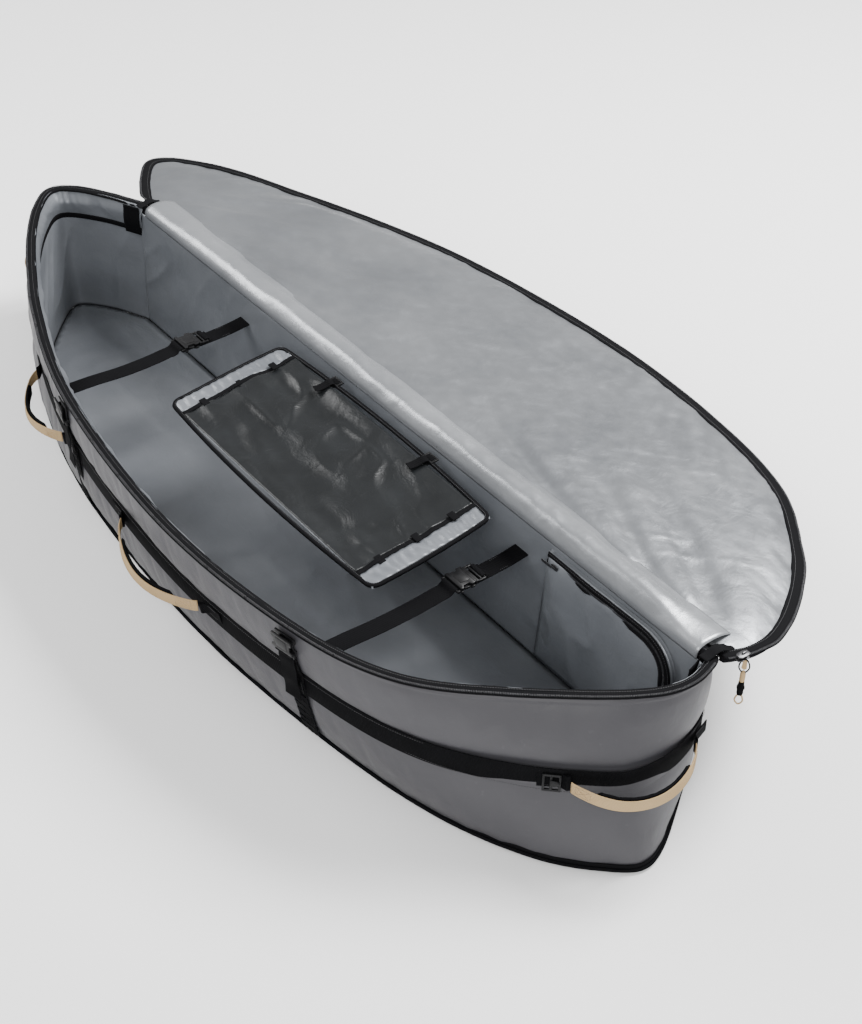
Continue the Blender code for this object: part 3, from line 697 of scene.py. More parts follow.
def make_piping():
    """The piped edge round the bottom: a covered cord and its flange."""
    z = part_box("bottom_piping")
    middle = (z[0][2] + z[1][2]) / 2
    wave = noise(AROUND / 0.05, 0, 21) * 0.0004
    ring_tube("bottom_piping_cord", middle, 0.0042 + wave, circle(0.0034, 12), M["binding"],
              replaces=("bottom_piping",), slot="binding_black")
    flange = [(0.0012, -0.003), (0.0020, 0.006), (0.0010, 0.011), (-0.0006, 0.011), (-0.0006, -0.003)]
    ring_tube("bottom_piping_flange", middle, 0.0008, flange, M["binding"], slot="binding_black")


def make_load_band():
    """The wide webbing round the tub, sewn along both edges. The handles are sewn to it."""
    middle = (BAND_LOW + BAND_HIGH) / 2
    wave = noise(AROUND / 0.22, 0, 31) * 0.0012
    lift = noise(AROUND / 0.4, 0, 35) * 0.0015
    band = ring_tube(
        "load_band_webbing", middle + lift, 0.0030 + wave * 0.4,
        webbing_profile(BAND_HIGH - BAND_LOW, 0.0019), M["black"],
        replaces=("load_band",), slot="webbing_black",
    )
    for height in (BAND_LOW + 0.0045, BAND_HIGH - 0.0045):
        stitches("load_band_stitching", wall_ring(height + lift, 0.0042 + wave * 0.4), 0.0046,
                 M["thread_dark"])


def stitches(name, path, pitch, material, body="tub", radius=0.00042, length=0.62,
             parent_slot="webbing_black"):
    """A row of thread stitches along a path of points."""
    path = np.asarray(path, float)
    at = lengths(path)
    starts = np.arange(0, at[-1] - pitch, pitch)
    corners = [(-1, -1), (1, -1), (1, 1), (-1, 1)]
    verts, faces = [], []
    for s in starts:
        ends = [np.array([np.interp(v, at, path[:, k]) for k in range(3)]) for v in (s, s + pitch * length)]
        along = ends[1] - ends[0]
        size = np.linalg.norm(along)
        if size < 1e-7:
            continue
        along /= size
        side = np.cross(along, (0.0, 0.0, 1.0) if abs(along[2]) < 0.9 else (1.0, 0.0, 0.0))
        side /= np.linalg.norm(side)
        other = np.cross(side, along)
        base = len(verts)
        for f, shrink in ((0.0, 0.35), (0.2, 1.0), (0.8, 1.0), (1.0, 0.35)):
            centre = ends[0] + (ends[1] - ends[0]) * f
            verts += [centre + (side * a + other * b) * radius * shrink for a, b in corners]
        faces.append((base + 3, base + 2, base + 1, base))
        faces.append((base + 12, base + 13, base + 14, base + 15))
        for ringed in range(3):
            for k in range(4):
                a, b = base + ringed * 4 + k, base + ringed * 4 + (k + 1) % 4
                faces.append((a, b, b + 4, a + 4))
    made = new_object(name, verts, faces, smooth=False)
    finish_piece(made, material, body, slot=parent_slot)
    return made


def teeth(name, path, along_dirs, out_dirs, up_dirs, pitch, size, body, replaces):
    """A row of rounded zip teeth, one each pitch along a path."""
    path = np.asarray(path, float)
    at = lengths(path)
    places = np.arange(pitch, at[-1] - pitch, pitch)

    def sample(values):
        return np.stack([np.interp(places, at, values[:, k]) for k in range(3)], axis=1)

    centre, along, out, up = (sample(np.asarray(v, float)) for v in (path, along_dirs, out_dirs, up_dirs))
    section = [(-0.5, -0.30), (-0.3, -0.5), (0.3, -0.5), (0.5, -0.30), (0.5, 0.30), (0.3, 0.5), (-0.3, 0.5),
               (-0.5, 0.30)]
    levels = ((-0.5, 0.7), (-0.3, 1.0), (0.25, 1.0), (0.5, 0.6))
    length, width, height = size
    verts = []
    for o, shrink in levels:
        for a, b in section:
            verts.append(centre + out * (o * width) + along * (a * length * shrink) + up
                         * (b * height * shrink))
    verts = np.stack(verts, axis=1)
    sides = len(section)
    faces = [tuple(range(sides))[::-1], tuple(range(3 * sides, 4 * sides))]
    for level in range(3):
        for k in range(sides):
            a, b = level * sides + k, level * sides + (k + 1) % sides
            faces.append((a, b, b + sides, a + sides))
    each = len(levels) * sides
    every = [tuple(v + n * each for v in face) for n in range(len(places)) for face in faces]
    made = new_object(name, verts.reshape(-1, 3), every)
    fix_normals(made)
    return finish_piece(made, M["teeth"], body, replaces, "zip_teeth")


def directions(path):
    path = np.asarray(path, float)
    return unit(np.gradient(path, axis=0))


def make_tub_zip():
    """The tub's half of the zip: the tape sewn on the rim, and the coil on its outer edge."""
    s = AROUND[:SIDE_COUNT]
    wave = noise(s / 0.09, 0, 41) * 0.0016 + noise(s / 0.03, 0, 43) * 0.0005
    wave = np.concatenate([wave, np.zeros(HINGE_COUNT)])
    base = wall_ring(RIM_Z, 0)
    base[:, 2] += 0.0006
    flat = np.column_stack([normals_of(base[:, :2]), np.zeros(COUNT)])
    up = upward(COUNT)
    columns = []
    for out, lift in ((-0.0115, -0.004), (-0.0085, 0.0000), (-0.003, 0.0012), (0.003, 0.0010),
                      (0.0085, -0.0006), (0.0100, -0.0030)):
        columns.append(base + flat * (out + (wave * 0.5)[:, None]) + up
                       * (lift + wave[:, None] * min(1, abs(out) / 0.004)))
    tape = grid("tub_zip_tape_woven", np.stack(columns, axis=1)[:SIDE_COUNT], thickness=0.0011, outward=0)
    finish_piece(tape, M["tape"], replaces=("tub_zip_tape",), slot="zip_tape")
    row = (base + flat * (0.0072 + (wave * 0.5)[:, None]) + up * (0.0014 + wave[:, None]))[2 : SIDE_COUNT - 2]
    teeth("tub_zip_coil", row, directions(row), flat[2 : SIDE_COUNT - 2], up[2 : SIDE_COUNT - 2], COIL_PITCH,
          COIL_TOOTH, "tub", ("tub_zip_teeth",))
    seam = (base + flat * (-0.0025) + up * 0.0024)[:SIDE_COUNT]
    stitches("tub_zip_stitching", seam, SEAM_PITCH, M["thread_dark"], parent_slot="zip_tape")


def make_lip():
    """The unpadded silver lip under the zip, puckered by its seam, and the binding below it."""
    s = AROUND
    rows = []
    for f in np.linspace(0, 1, 22):
        z = RIM_Z + 0.0004 - (RIM_Z + 0.0004 - LIP_LOW) * f
        gather = noise(s / 0.045, f * 1.5, 51) * 0.0030 + creases(s / 0.028 + 0.8 * f, f * 1.2, 53) * 0.0016
        inward = 0.0085 + (WALL + 0.001 - 0.0085) * smoothstep(0, 0.5, f) + 0.004 * math.sin(PI * f)
        out = -inward - gather * math.sin(PI * min(1, f * 1.05 + 0.08)) ** 0.7
        rows.append(wall_ring(z, out))
    points = np.stack(rows, axis=1)[:SIDE_COUNT]
    lip = grid("rim_lip_silver", points, thickness=0.0009, outward=0, flip=True)
    finish_piece(lip, M["lining"], replaces=("rim_lip",), slot="lining_silver")
    profile = [(0.0008, -0.006), (0.0008, 0.006), (-0.0012, 0.0062), (-0.0020, 0.003), (-0.0020, -0.003),
               (-0.0012, -0.0062)]
    z = LIP_LOW + noise(s / 0.2, 0, 57) * 0.001
    ring_tube("lip_binding_tape", z, -WALL - 0.0018, profile, M["binding"], 0, SIDE_COUNT,
              replaces=("lip_binding",), slot="binding_black")


def lining_rows(steps, top, sizes, seed, puff):
    """The wall's lining, row by row from the floor up. sizes holds its folds' lengths, heights and depths."""
    low = 0.0145
    (long, run, deep), (short, slant, rise, sharp) = sizes
    rows = []
    for f in np.linspace(0, 1, steps):
        folds = noise(AROUND / long + f, f * run, seed) * deep
        folds += creases(AROUND / short + slant * f, f * rise, seed + 2) * sharp
        out = -WALL - puff * math.sin(PI * f) ** 0.6 - folds * math.sin(PI * f) ** 0.5
        rows.append(wall_ring(low + (top - low) * f, out))
    return np.stack(rows, axis=1)


def make_wall_lining():
    """The silver lining inside the walls, from the floor to the lip and, at the back, to the hinge."""
    # Its material is the darker copy of the silver: painted shade.
    side = lining_rows(48, LIP_LOW, ((0.13, 3.0, 0.0035), (0.09, 1.4, 2.2, 0.0020)), 61, 0.0045)
    back = lining_rows(52, HINGE.z - 0.018, ((0.20, 2.5, 0.0045), (0.10, 2.0, 2.0, 0.0022)), 65, 0.0055)
    back = np.concatenate([back[SIDE_COUNT - 1 :], back[:1]])
    for name, points in (("side", side[:SIDE_COUNT]), ("hinge", back)):
        lining = grid(f"{name}_wall_lining_silver", points, thickness=0.0008, outward=0, flip=True)
        finish_piece(lining, M["lining"], replaces=(f"{name}_wall_lining",), slot="lining_silver")


def make_floor():
    """The padded floor lining, the foam's stand-in, and the flat outer bottom."""
    inner = wall_ring(0.012, -WALL - 0.0015)[::4, :2]
    points, faces = filled(inner, 0.011)
    _, distance, around = to_edge(points, inner)
    x, y = points.T
    level = 0.0142 + 0.0035 * smoothstep(0, 0.05, distance)
    edge = np.exp(-distance / 0.03) * smoothstep(0, 0.01, distance)
    level += noise(around / 0.03, distance / 0.08, 71) * 0.0016 * edge
    level += noise(x / 0.13, y / 0.08, 73) * 0.0022 + creases(x / 0.16 + y * 3, y / 0.06, 75) * 0.0014
    level = np.where(distance < 1e-6, 0.0145, level)
    floor = new_object("floor_lining_silver", np.column_stack([points, level]), faces, points)
    add_thickness(floor, 0.0008, -1)
    finish_piece(floor, M["lining"], replaces=("bottom_lining", "bottom_foam"), slot="lining_silver")
    outline = FLOOR[::3]
    points, faces = filled(outline, 0.03)
    bottom = new_object("bottom_skin_tarpaulin", np.column_stack([points, np.zeros(len(points))]), faces,
                        points)
    add_thickness(bottom, 0.0018, 1)
    finish_piece(bottom, M["tarp"], replaces=("bottom_skin",), slot="shell_grey")


# ------------------------------------------------------------------------------
# Lid. Its shapes are made closed, as seen from the hinge line, and turned to where the lid rests.

TO_OPEN = Matrix.Translation(HINGE) @ Matrix.Rotation(-LID_OPEN, 4, "X")
TURN = np.array(TO_OPEN)


def opened(points):
    return moved(points, TURN)


def bump(centre, width):
    return np.exp(-(((AROUND - centre) / width) ** 2))


# The lid keeps the full corners it was cut with, where the boards draw the rim's ends in.
TAIL_CORNER = AROUND[int(np.argmin(np.hypot(RIM[:, 0] - 0.84, RIM[:, 1] + 0.02)))]
NOSE_CORNER = AROUND[int(np.argmin(np.hypot(RIM[:, 0] + 0.98, RIM[:, 1] - 0.02)))]
LID_FULLNESS = 0.026 * bump(TAIL_CORNER, 0.20) + 0.016 * bump(NOSE_CORNER, 0.16)


def lid_edge(out, gap=0.013):
    """The lid's outline as closed, from the hinge's nose end to its tail end, relative to the hinge line."""
    side = (RIM + normals_of(RIM) * (out + LID_FULLNESS)[:, None])[:SIDE_COUNT]
    y = np.minimum(side[:, 1], HINGE.y - gap) - HINGE.y
    return np.column_stack([side[:, 0], y])


STRAP_X = [sum(c[0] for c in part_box(f"lid_strap_{end}")) / 2 for end in ("nose", "tail")]
LID_LOW = 0.0046  # the lining's face above the hinge line, lid closed
LID_HIGH = 0.0205  # the outer skin's face


def lid_height(points, outline, seed):
    """How far a lid face swells from its edge, and its folds."""
    _, distance, around = to_edge(points, outline)
    x, y = points.T
    free = smoothstep(0.02, 0.10, -y)
    swell = 1 - np.exp(-distance / 0.022)
    edge = np.exp(-distance / 0.035) * smoothstep(0, 0.008, distance) * (0.35 + 0.65 * free)
    pull = noise(around / 0.022, distance / 0.07, seed) * 0.0014 + noise(around / 0.060, distance / 0.16,
        seed + 1) * 0.0024
    slant = creases((x - y) / 0.20, (x + y) / 0.055, seed + 4) * 0.0012 + creases((x - y) / 0.09,
        (x + y) / 0.024, seed + 5) * 0.0004
    broad = noise(x / 0.34, y / 0.22, seed + 2) * 0.0050 + noise(x / 0.12, y / 0.10,
        seed + 3) * 0.0012 + slant
    return swell, pull * edge + broad * smoothstep(0, 0.12, distance)


def lid_face(name, inset, spacing, seed, height, fine, outside, material, replaces, slot):
    """One padded face of the lid: its swell and folds, then the wrinkles of its simulated cloth."""
    outline = lid_edge(inset)[::2]
    points, faces = filled(outline, spacing)
    swell, folds = lid_height(points, outline, seed)
    held = np.max([np.exp(-(((points[:, 0] - x) / 0.034) ** 4)) for x in STRAP_X], axis=0)
    free = 1 - held if outside else 1
    z = height(swell, folds * free)
    if not outside:
        faces = [f[::-1] for f in faces]
    pinned = np.arange(len(points)) < len(outline)
    cloth = sewn_cloth(np.column_stack([points, z]), faces, pinned, 0.010, cap=0.005, fine=fine) * free
    z = z + cloth if outside else z - cloth
    made = subdivide(new_object(name, opened(np.column_stack([points, z])), faces, points))
    add_thickness(made, 0.0012 if outside else 0.0009, 0)
    finish_piece(made, M[material], "lid", replaces, slot)


def make_lid():
    lid_face("lid_lining_silver", -0.004, 0.010, 81, lambda swell,
             folds: LID_LOW + 0.003 - 0.0065 * swell - folds,
             0.9, False, "lid_lining", ("lid_lining", "lid_foam"), "lining_silver")
    lid_face("lid_skin_tarpaulin", 0.002, 0.012, 91, lambda swell,
             folds: LID_HIGH - 0.0035 + 0.0055 * swell + folds,
             1.2, True, "tarp", ("lid_skin",), "shell_grey")
    make_lid_edge()
    make_lid_straps()


def make_lid_edge():
    """The lid's border: side binding, zip tape that waves where its stitching gathers it, and the coil."""
    s = AROUND[:SIDE_COUNT]
    wave = noise(s / 0.075, 0, 101) * 0.0030 + noise(s / 0.032, 0, 103) * 0.0011
    ease = smoothstep(0, 0.10, s) * smoothstep(0, 0.10, s[-1] - s)
    wave = wave * ease

    def edge(out, z):
        flat = lid_edge(0.0)
        normal = normals_of(RIM)[:SIDE_COUNT]
        xy = flat + normal * np.broadcast_to(np.asarray(out, float), (SIDE_COUNT,))[:, None]
        xy[:, 1] = np.minimum(xy[:, 1], -0.010)
        return np.column_stack([xy, np.broadcast_to(np.asarray(z, float), (SIDE_COUNT,))])

    side = [edge(-0.006, LID_LOW + 0.0025), edge(0.0015, LID_LOW + 0.0020), edge(0.0042, LID_LOW + 0.006),
            edge(0.0046, LID_HIGH - 0.007), edge(0.0030, LID_HIGH - 0.0035), edge(-0.004, LID_HIGH - 0.0018)]
    border = grid("lid_side_binding", opened(np.stack(side, axis=1)), thickness=0.0012, outward=0)
    finish_piece(border, M["binding"], "lid", slot="binding_black")
    tape = []
    for out, z, share in ((-0.0125, LID_LOW + 0.0008, 0.0), (-0.0100, LID_LOW - 0.0014, 0.2),
                          (-0.004, LID_LOW - 0.0018, 0.6), (0.003, LID_LOW - 0.0012, 0.9),
                          (0.0095, LID_LOW - 0.0004, 1.0), (0.0125, LID_LOW + 0.0014, 1.0)):
        tape.append(edge(out + wave * share * 0.8, z + wave * share * 0.5))
    strip = grid("lid_zip_tape_woven", opened(np.stack(tape, axis=1)), thickness=0.0011, outward=0)
    finish_piece(strip, M["tape"], "lid", ("lid_zip_tape",), "zip_tape")
    row = opened(edge(0.0092 + wave * 0.8, LID_LOW - 0.0016 + wave * 0.5))[2:-2]
    normal = np.column_stack([normals_of(RIM)[:SIDE_COUNT], np.zeros(SIDE_COUNT)])[2:-2] @ TURN[:3, :3].T
    up = np.tile(TURN[:3, 2], (len(row), 1))
    teeth("lid_zip_coil", row, directions(row), normal, up, COIL_PITCH, COIL_TOOTH, "lid", ("lid_zip_teeth",))
    seam = opened(edge(-0.0065 + wave * 0.4, LID_LOW - 0.0024 + wave * 0.2))
    stitches("lid_zip_stitching", seam, SEAM_PITCH, M["thread_dark"], "lid", parent_slot="zip_tape")


def make_lid_straps():
    """The webbing across the lid's outer face that the lid's plugs hang from."""
    for end in ("nose", "tail"):
        low, high = (Vector(c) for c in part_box(f"lid_strap_{end}"))
        x = (low.x + high.x) / 2
        plug_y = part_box(f"lid_plug_{end}")[0][1]
        y = np.linspace(0.030, (plug_y - HINGE.y) / abs(math.cos(LID_OPEN)) + 0.004, 60) * -1
        z = LID_HIGH + 0.0045 + noise(y / 0.08, x, 111) * 0.0012
        path = opened(np.column_stack([np.full(60, x), y, z]))
        normals = np.tile(TURN[:3, 2], (60, 1))
        ups = np.tile(TURN[:3, 0], (60, 1))
        strap = tube(f"lid_strap_{end}_webbing", path, webbing_profile(STRAP_WIDTH, WEBBING), normals, ups)
        finish_piece(strap, M["black"], "lid", (f"lid_strap_{end}",), "webbing_black")


def make_hinge_cover():
    """The lining runs from the wall over the padded roll to the lid. The outer skin folds under it."""
    x0, x1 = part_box("hinge_roll")[0][0] + 0.004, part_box("hinge_roll")[1][0] - 0.004
    x = np.linspace(x0, x1, 200)
    wall_y = np.interp(0.286, [0, RIM_Z], [FLOOR[:, 1].max(), RIM[:, 1].max()]) - WALL
    fat = np.interp(x, [x0, -0.75, -0.3, 0.3, 0.8, x1], [0.4, 0.7, 1.0, 1.25, 1.1, 0.5])
    spots = [(wall_y - 0.001, -0.019), (wall_y - 0.001, -0.008), (-0.013 + HINGE.y, 0.004),
             (HINGE.y - 0.004, 0.0115),
             (HINGE.y + 0.012, 0.0135), (HINGE.y + 0.030, 0.0090), (HINGE.y + 0.046, -0.0005),
             (HINGE.y + 0.058, -0.0060)]
    section = spread(np.array(spots), 26)
    points = []
    for k, (y, z) in enumerate(section):
        f = k / (len(section) - 1)
        swell = math.sin(PI * f) ** 0.8
        fold = noise(x / 0.11, f * 2, 121) * 0.0030 + creases(x / 0.07 + f, f * 1.5, 123) * 0.0012
        lift = z * np.where(z > 0, fat, 1.0) + fold * swell
        points.append(np.column_stack([x, np.full(len(x), y) + fold * swell * 0.5, HINGE.z + lift]))
    # The roll's sheet takes the lighter silver: a painted highlight along the bend.
    bending_sheet("hinge_roll_lining", points, 0.0009, "roll", ("hinge_roll",), "lining_silver",
                  True)
    under = [(RIM[:, 1].max() + 0.001, -0.020), (RIM[:, 1].max() + 0.006, -0.012), (HINGE.y + 0.008, -0.011),
             (HINGE.y + 0.016, -0.018), (HINGE.y + 0.030, -0.0245)]
    section = spread(np.array(under), 16)
    points = [np.column_stack([x, np.full(len(x), y), np.full(len(x), HINGE.z + z)]) for y, z in section]
    bending_sheet("hinge_outer_fold", points, 0.0011, "tarp", (), "shell_grey")


def bending_sheet(name, rows, thickness, material, replaces, slot, flip=False):
    """A sheet over the reach in y from the tub to the lid, its thickness applied, attached to no body."""
    made = add_thickness(grid(name, np.stack(rows, axis=1), flip=flip), thickness)
    apply_modifiers(made)
    finish_piece(made, M[material], None, replaces, slot)
    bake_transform(made)


def apply_modifiers(made):
    bpy.context.view_layer.update()
    graph = bpy.context.evaluated_depsgraph_get()
    mesh = bpy.data.meshes.new_from_object(made.evaluated_get(graph))
    made.modifiers.clear()
    made.data = mesh


def box_mesh(low, high, bevel=0.0, segments=2):
    """A box as (verts, faces), with its edges rounded."""
    bm = bmesh.new()
    bmesh.ops.create_cube(bm, size=1)
    low, high = Vector(low), Vector(high)
    size = Matrix.Diagonal((high - low).to_4d())
    bmesh.ops.transform(bm, matrix=Matrix.Translation((low + high) / 2) @ size, verts=bm.verts)
    if bevel:
        bmesh.ops.bevel(bm, geom=bm.edges, offset=bevel, segments=segments, affect="EDGES", profile=0.5)
    return taken(bm)


def plate_mesh(outline, low, high, bevel=0.0, segments=2):
    """A flat outline, as (x, y) points, drawn up from low to high, with its edges rounded."""
    bm = bmesh.new()
    bottom = [bm.verts.new((x, y, low)) for x, y in outline]
    top = [bm.verts.new((x, y, high)) for x, y in outline]
    bm.faces.new(bottom[::-1])
    bm.faces.new(top)
    for i in range(len(outline)):
        j = (i + 1) % len(outline)
        bm.faces.new((bottom[i], bottom[j], top[j], top[i]))
    bmesh.ops.recalc_face_normals(bm, faces=bm.faces)
    if bevel:
        rims = [e for e in bm.edges if abs(e.verts[0].co.z - e.verts[1].co.z) < 1e-9]
        bmesh.ops.bevel(bm, geom=rims, offset=bevel, segments=segments, affect="EDGES", profile=0.5)
    return taken(bm)


def taken(bm):
    bm.verts.index_update()
    verts = [v.co.copy() for v in bm.verts]
    faces = [[v.index for v in f.verts] for f in bm.faces]
    bm.free()
    return verts, faces


def solid(name, shapes, matrix, material, body="tub", replaces=(), slot=None):
    """Several rounded shapes as one piece, placed by a matrix."""
    verts, faces = [], []
    for shape_verts, shape_faces in shapes:
        base = len(verts)
        verts += [matrix @ v for v in shape_verts]
        faces += [[i + base for i in f] for f in shape_faces]
    made = new_object(name, verts, faces)
    made.data.set_sharp_from_angle(angle=math.radians(40))
    return finish_piece(made, material, body, replaces, slot)


def frame_from(origin, x, y, z):
    matrix = Matrix((Vector(x), Vector(y), Vector(z))).transposed().to_4x4()
    matrix.translation = Vector(origin)
    return matrix


def wall_axes(i, z, out):
    """Axes on the outer wall at station i: x along it toward the tail, y up it, z out of it."""
    here = wall_ring(z, out)
    up = wall_ring(z + 0.01, out)[i] - wall_ring(z - 0.01, out)[i]
    along = here[(i + 2) % COUNT] - here[i - 2]
    up, along = up / np.linalg.norm(up), along / np.linalg.norm(along)
    outward = np.cross(along, up)
    outward /= np.linalg.norm(outward)
    return frame_from(here[i], along, np.cross(outward, along), outward)


def ribbon(name, path, across, width, thickness, material, body="tub", replaces=(), slot="webbing_black",
           ease=0):
    """Webbing along a path of points, as wide along the directions across."""
    path = np.array([tuple(p) for p in path], float)
    across = np.broadcast_to(np.array(across, float), path.shape)
    if ease:
        whole, path = np.linspace(0, 1, len(path)), spread(path, ease)
        part = np.linspace(0, 1, ease)
        across = np.stack([np.interp(part, whole, across[:, k]) for k in range(3)], axis=1)
    ahead = directions(path)
    across = unit(across - ahead * (across * ahead).sum(axis=1)[:, None])
    normals = np.cross(across, ahead)
    made = tube(name, path, webbing_profile(width, thickness), normals, across)
    finish_piece(made, material, body, replaces, slot)
    return made


def box_of(centre, size, bevel):
    centre, half = Vector(centre), Vector(size) / 2
    return box_mesh(centre - half, centre + half, bevel)


# ------------------------------------------------------------------------------
# Buckles. The socket's mouth is at y = 0 and faces +Y, its underside at z = 0.

SOCKET_LENGTH = 0.042
PLUG_Z = 0.0063


def mirrored(points):
    return points + [(-x, y) for x, y in reversed(points)]


def socket_shapes():
    shell = mirrored([(0.0225, 0.0), (0.0245, -0.004), (0.0245, -0.010), (0.0195, -0.0125), (0.0190, -0.0255),
                      (0.0245, -0.0285),
                      (0.0250, -0.0330), (0.0242, -0.0345)])
    low = plate_mesh(shell, 0.0, 0.0036, 0.0010)
    high = plate_mesh(shell, 0.0090, 0.0125, 0.0012)
    web = [box_mesh((x - 0.0012, -0.034, 0.0030), (x + 0.0012, -0.003, 0.0095), 0.0004)
           for x in (-0.0075, 0.0075)]
    back = box_mesh((-0.0240, -0.0345, 0.0005), (0.0240, -0.0300, 0.0120), 0.0012)
    lips = [box_mesh((-0.0225, -0.003, z0), (0.0225, 0.0006, z1), 0.0007) for z0,
            z1 in ((0.0002, 0.0040), (0.0086, 0.0130))]
    rails = [box_mesh((x - 0.0021, -0.0420, 0.0030), (x + 0.0021, -0.0325, 0.0085), 0.0010)
             for x in (-0.0225, 0.0225)]
    bar = box_mesh((-0.0240, -0.0425, 0.0030), (0.0240, -0.0392, 0.0078), 0.0012)
    ridge = plate_mesh(mirrored([(0.0120, -0.006), (0.0135, -0.012), (0.0120, -0.026)]), 0.0118, 0.0133,
                       0.0006)
    return [low, high, back, *web, *lips, *rails, bar, ridge]


def plug_shapes():
    z0, z1 = PLUG_Z - 0.0022, PLUG_Z + 0.0022
    base = plate_mesh([(-0.0230, 0.0012), (0.0230, 0.0012), (0.0230, 0.0075), (-0.0230, 0.0075)], z0 - 0.0014,
                      z1 + 0.0014, 0.0012)
    arms = []
    for sign in (1, -1):
        arm = [(0.0170, 0.002), (0.0150, -0.010), (0.0165, -0.020), (0.0205, -0.0265), (0.0243, -0.0250),
               (0.0248, -0.0150),
               (0.0232, -0.0130), (0.0215, -0.0160), (0.0195, -0.0170), (0.0182, -0.0100), (0.0200, 0.002)]
        arms.append(plate_mesh([(sign * x, y) for x, y in (arm if sign > 0 else arm[::-1])], z0, z1, 0.0007))
    guide = box_mesh((-0.0035, -0.026, z0 + 0.0004), (0.0035, 0.003, z1 - 0.0004), 0.0008)
    rails = [box_mesh((x - 0.0021, 0.004, z0), (x + 0.0021, 0.0238, z1), 0.0010) for x in (-0.0209, 0.0209)]
    bars = [box_mesh((-0.0225, y - 0.0017, z0), (0.0225, y + 0.0017, z1), 0.0010) for y in (0.0145, 0.0221)]
    return [base, *arms, guide, *rails, *bars]


def make_tie_downs():
    """Two straps that buckle over the boards, each sewn to both walls."""
    for end in ("nose", "tail"):
        near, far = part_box(f"tie_strap_near_{end}"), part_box(f"tie_strap_far_{end}")
        x = (near[0][0] + near[1][0]) / 2
        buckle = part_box(f"tie_plug_{end}")[1][1] - 0.024
        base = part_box(f"tie_socket_{end}")[0][2]
        z_wall, z = far[1][2] - 0.001, base - 0.0014
        fold = buckle - SOCKET_LENGTH + 0.0010
        start, slack = near[0][1] - 0.001, 0.004
        route = [(start, z_wall), (start + 0.06, z_wall - slack * 0.5), ((start + fold) / 2, z - slack * 0.4),
                 (fold - 0.030, z + 0.0008),
                 (fold - 0.010, z + 0.0030), (fold - 0.0035, z + 0.0088), (fold + 0.0010, z + 0.0104),
                 (fold + 0.0052, z + 0.0080), (fold + 0.0060, z + 0.0036)]
        path = [(x, a, b) for a, b in route]
        ribbon(f"tie_strap_near_{end}_webbing", path, (1, 0, 0), STRAP_WIDTH, WEBBING, M["black"],
               replaces=(f"tie_strap_near_{end}",), ease=90)
        stop = far[1][1] + 0.001
        route = [(buckle + 0.004, z), (buckle + 0.05, z),
                 ((buckle + stop) / 2 + 0.02, (z + z_wall) / 2 - 0.002), (stop, z_wall)]
        path = [(x, a, b) for a, b in route]
        ribbon(f"tie_strap_far_{end}_webbing", path, (1, 0, 0), STRAP_WIDTH, WEBBING, M["black"],
               replaces=(f"tie_strap_far_{end}",), ease=60)
        place = Matrix.Translation((x, buckle, base))
        solid(f"tie_socket_{end}_buckle", socket_shapes(), place, M["plastic"],
              replaces=(f"tie_socket_{end}",), slot="buckle_plastic")
        solid(f"tie_plug_{end}_buckle", plug_shapes(), place, M["plastic"], f"tie_plug_{end}",
              (f"tie_plug_{end}",), "buckle_plastic")
        loop = [(0.0262, 0.0030), (0.0262, 0.0090), (0.0225, 0.0104), (0.0180, 0.0095), (0.0178, 0.0036),
                (0.0290, 0.0034), (0.0350, 0.0040)]
        path = [(x, buckle + a, base + b) for a, b in loop]
        ribbon(f"tie_loop_{end}", path, (1, 0, 0), 0.036, 0.0014, M["black"], f"tie_plug_{end}", ease=50)
        for edge in (-0.0155, 0.0155):
            line = [(x + edge, y, z + 0.0011) for y in np.linspace(stop - 0.07, stop - 0.02, 20)]
            stitches(f"tie_stitching_{end}", line, 0.004, M["thread_dark"])


def make_compression():
    """The straps that pull the lid down: webbing up the near wall to a socket, with its loose end."""
    for end in ("nose", "tail"):
        low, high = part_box(f"compression_strap_{end}")
        x = (low[0] + high[0]) / 2
        top = high[2]
        heights = np.linspace(low[2], top - 0.004, 46)
        near_band = np.exp(-(((heights - (BAND_LOW + BAND_HIGH) / 2) / 0.026) ** 4))
        outs = 0.0052 + 0.0016 * near_band + 0.0012 * np.sin(heights * 60)
        path = [wall_ring(z, o + pillow(z))[wall_index(x, z)] for z, o in zip(heights, outs)]
        i = wall_index(x, top)
        along = np.array(wall_axes(i, 0.15, 0))[:3, 0]
        ribbon(f"compression_strap_{end}_webbing", path, along, 0.040, WEBBING, M["black"],
               replaces=(f"compression_strap_{end}",))
        place = wall_axes(wall_index(x, top + SOCKET_LENGTH), top + SOCKET_LENGTH, 0.0072)
        solid(f"compression_socket_{end}_buckle", socket_shapes(), place, M["plastic"],
              replaces=(f"compression_socket_{end}",), slot="buckle_plastic")
        fold = [(-0.048, -0.0010), (-0.0445, 0.0018), (-0.0440, 0.0085), (-0.0400, 0.0100), (-0.0365, 0.0085),
                (-0.0362, 0.0040)]
        path = [place @ Vector((0, a, b)) for a, b in fold]
        across = place.to_3x3() @ Vector((1, 0, 0))
        ribbon(f"compression_fold_{end}", path, across, 0.039, 0.0016, M["black"], ease=30)
        tail = [(-0.045, 0.0035), (-0.056, 0.0060), (-0.080, 0.0052), (-0.105, 0.0075), (-0.128, 0.0052),
                (-0.150, 0.0080)]
        path = [place @ Vector((0.001 * k, a, b)) for k, (a, b) in enumerate(tail)]
        ribbon(f"compression_tail_{end}", path, across, STRAP_WIDTH, 0.0016, M["black"], ease=50)
        bar = (BAND_LOW + BAND_HIGH) / 2
        place = wall_axes(wall_index(x, bar), bar, 0)
        for sign in (-1, 1):
            line = [place @ Vector((sign * 0.017, y, 0.0128 + pillow(bar) - 0.002))
                    for y in np.linspace(-0.018, 0.018, 12)]
            stitches(f"compression_stitching_{end}", line, 0.004, M["thread_dark"])
        make_lid_plug(end)


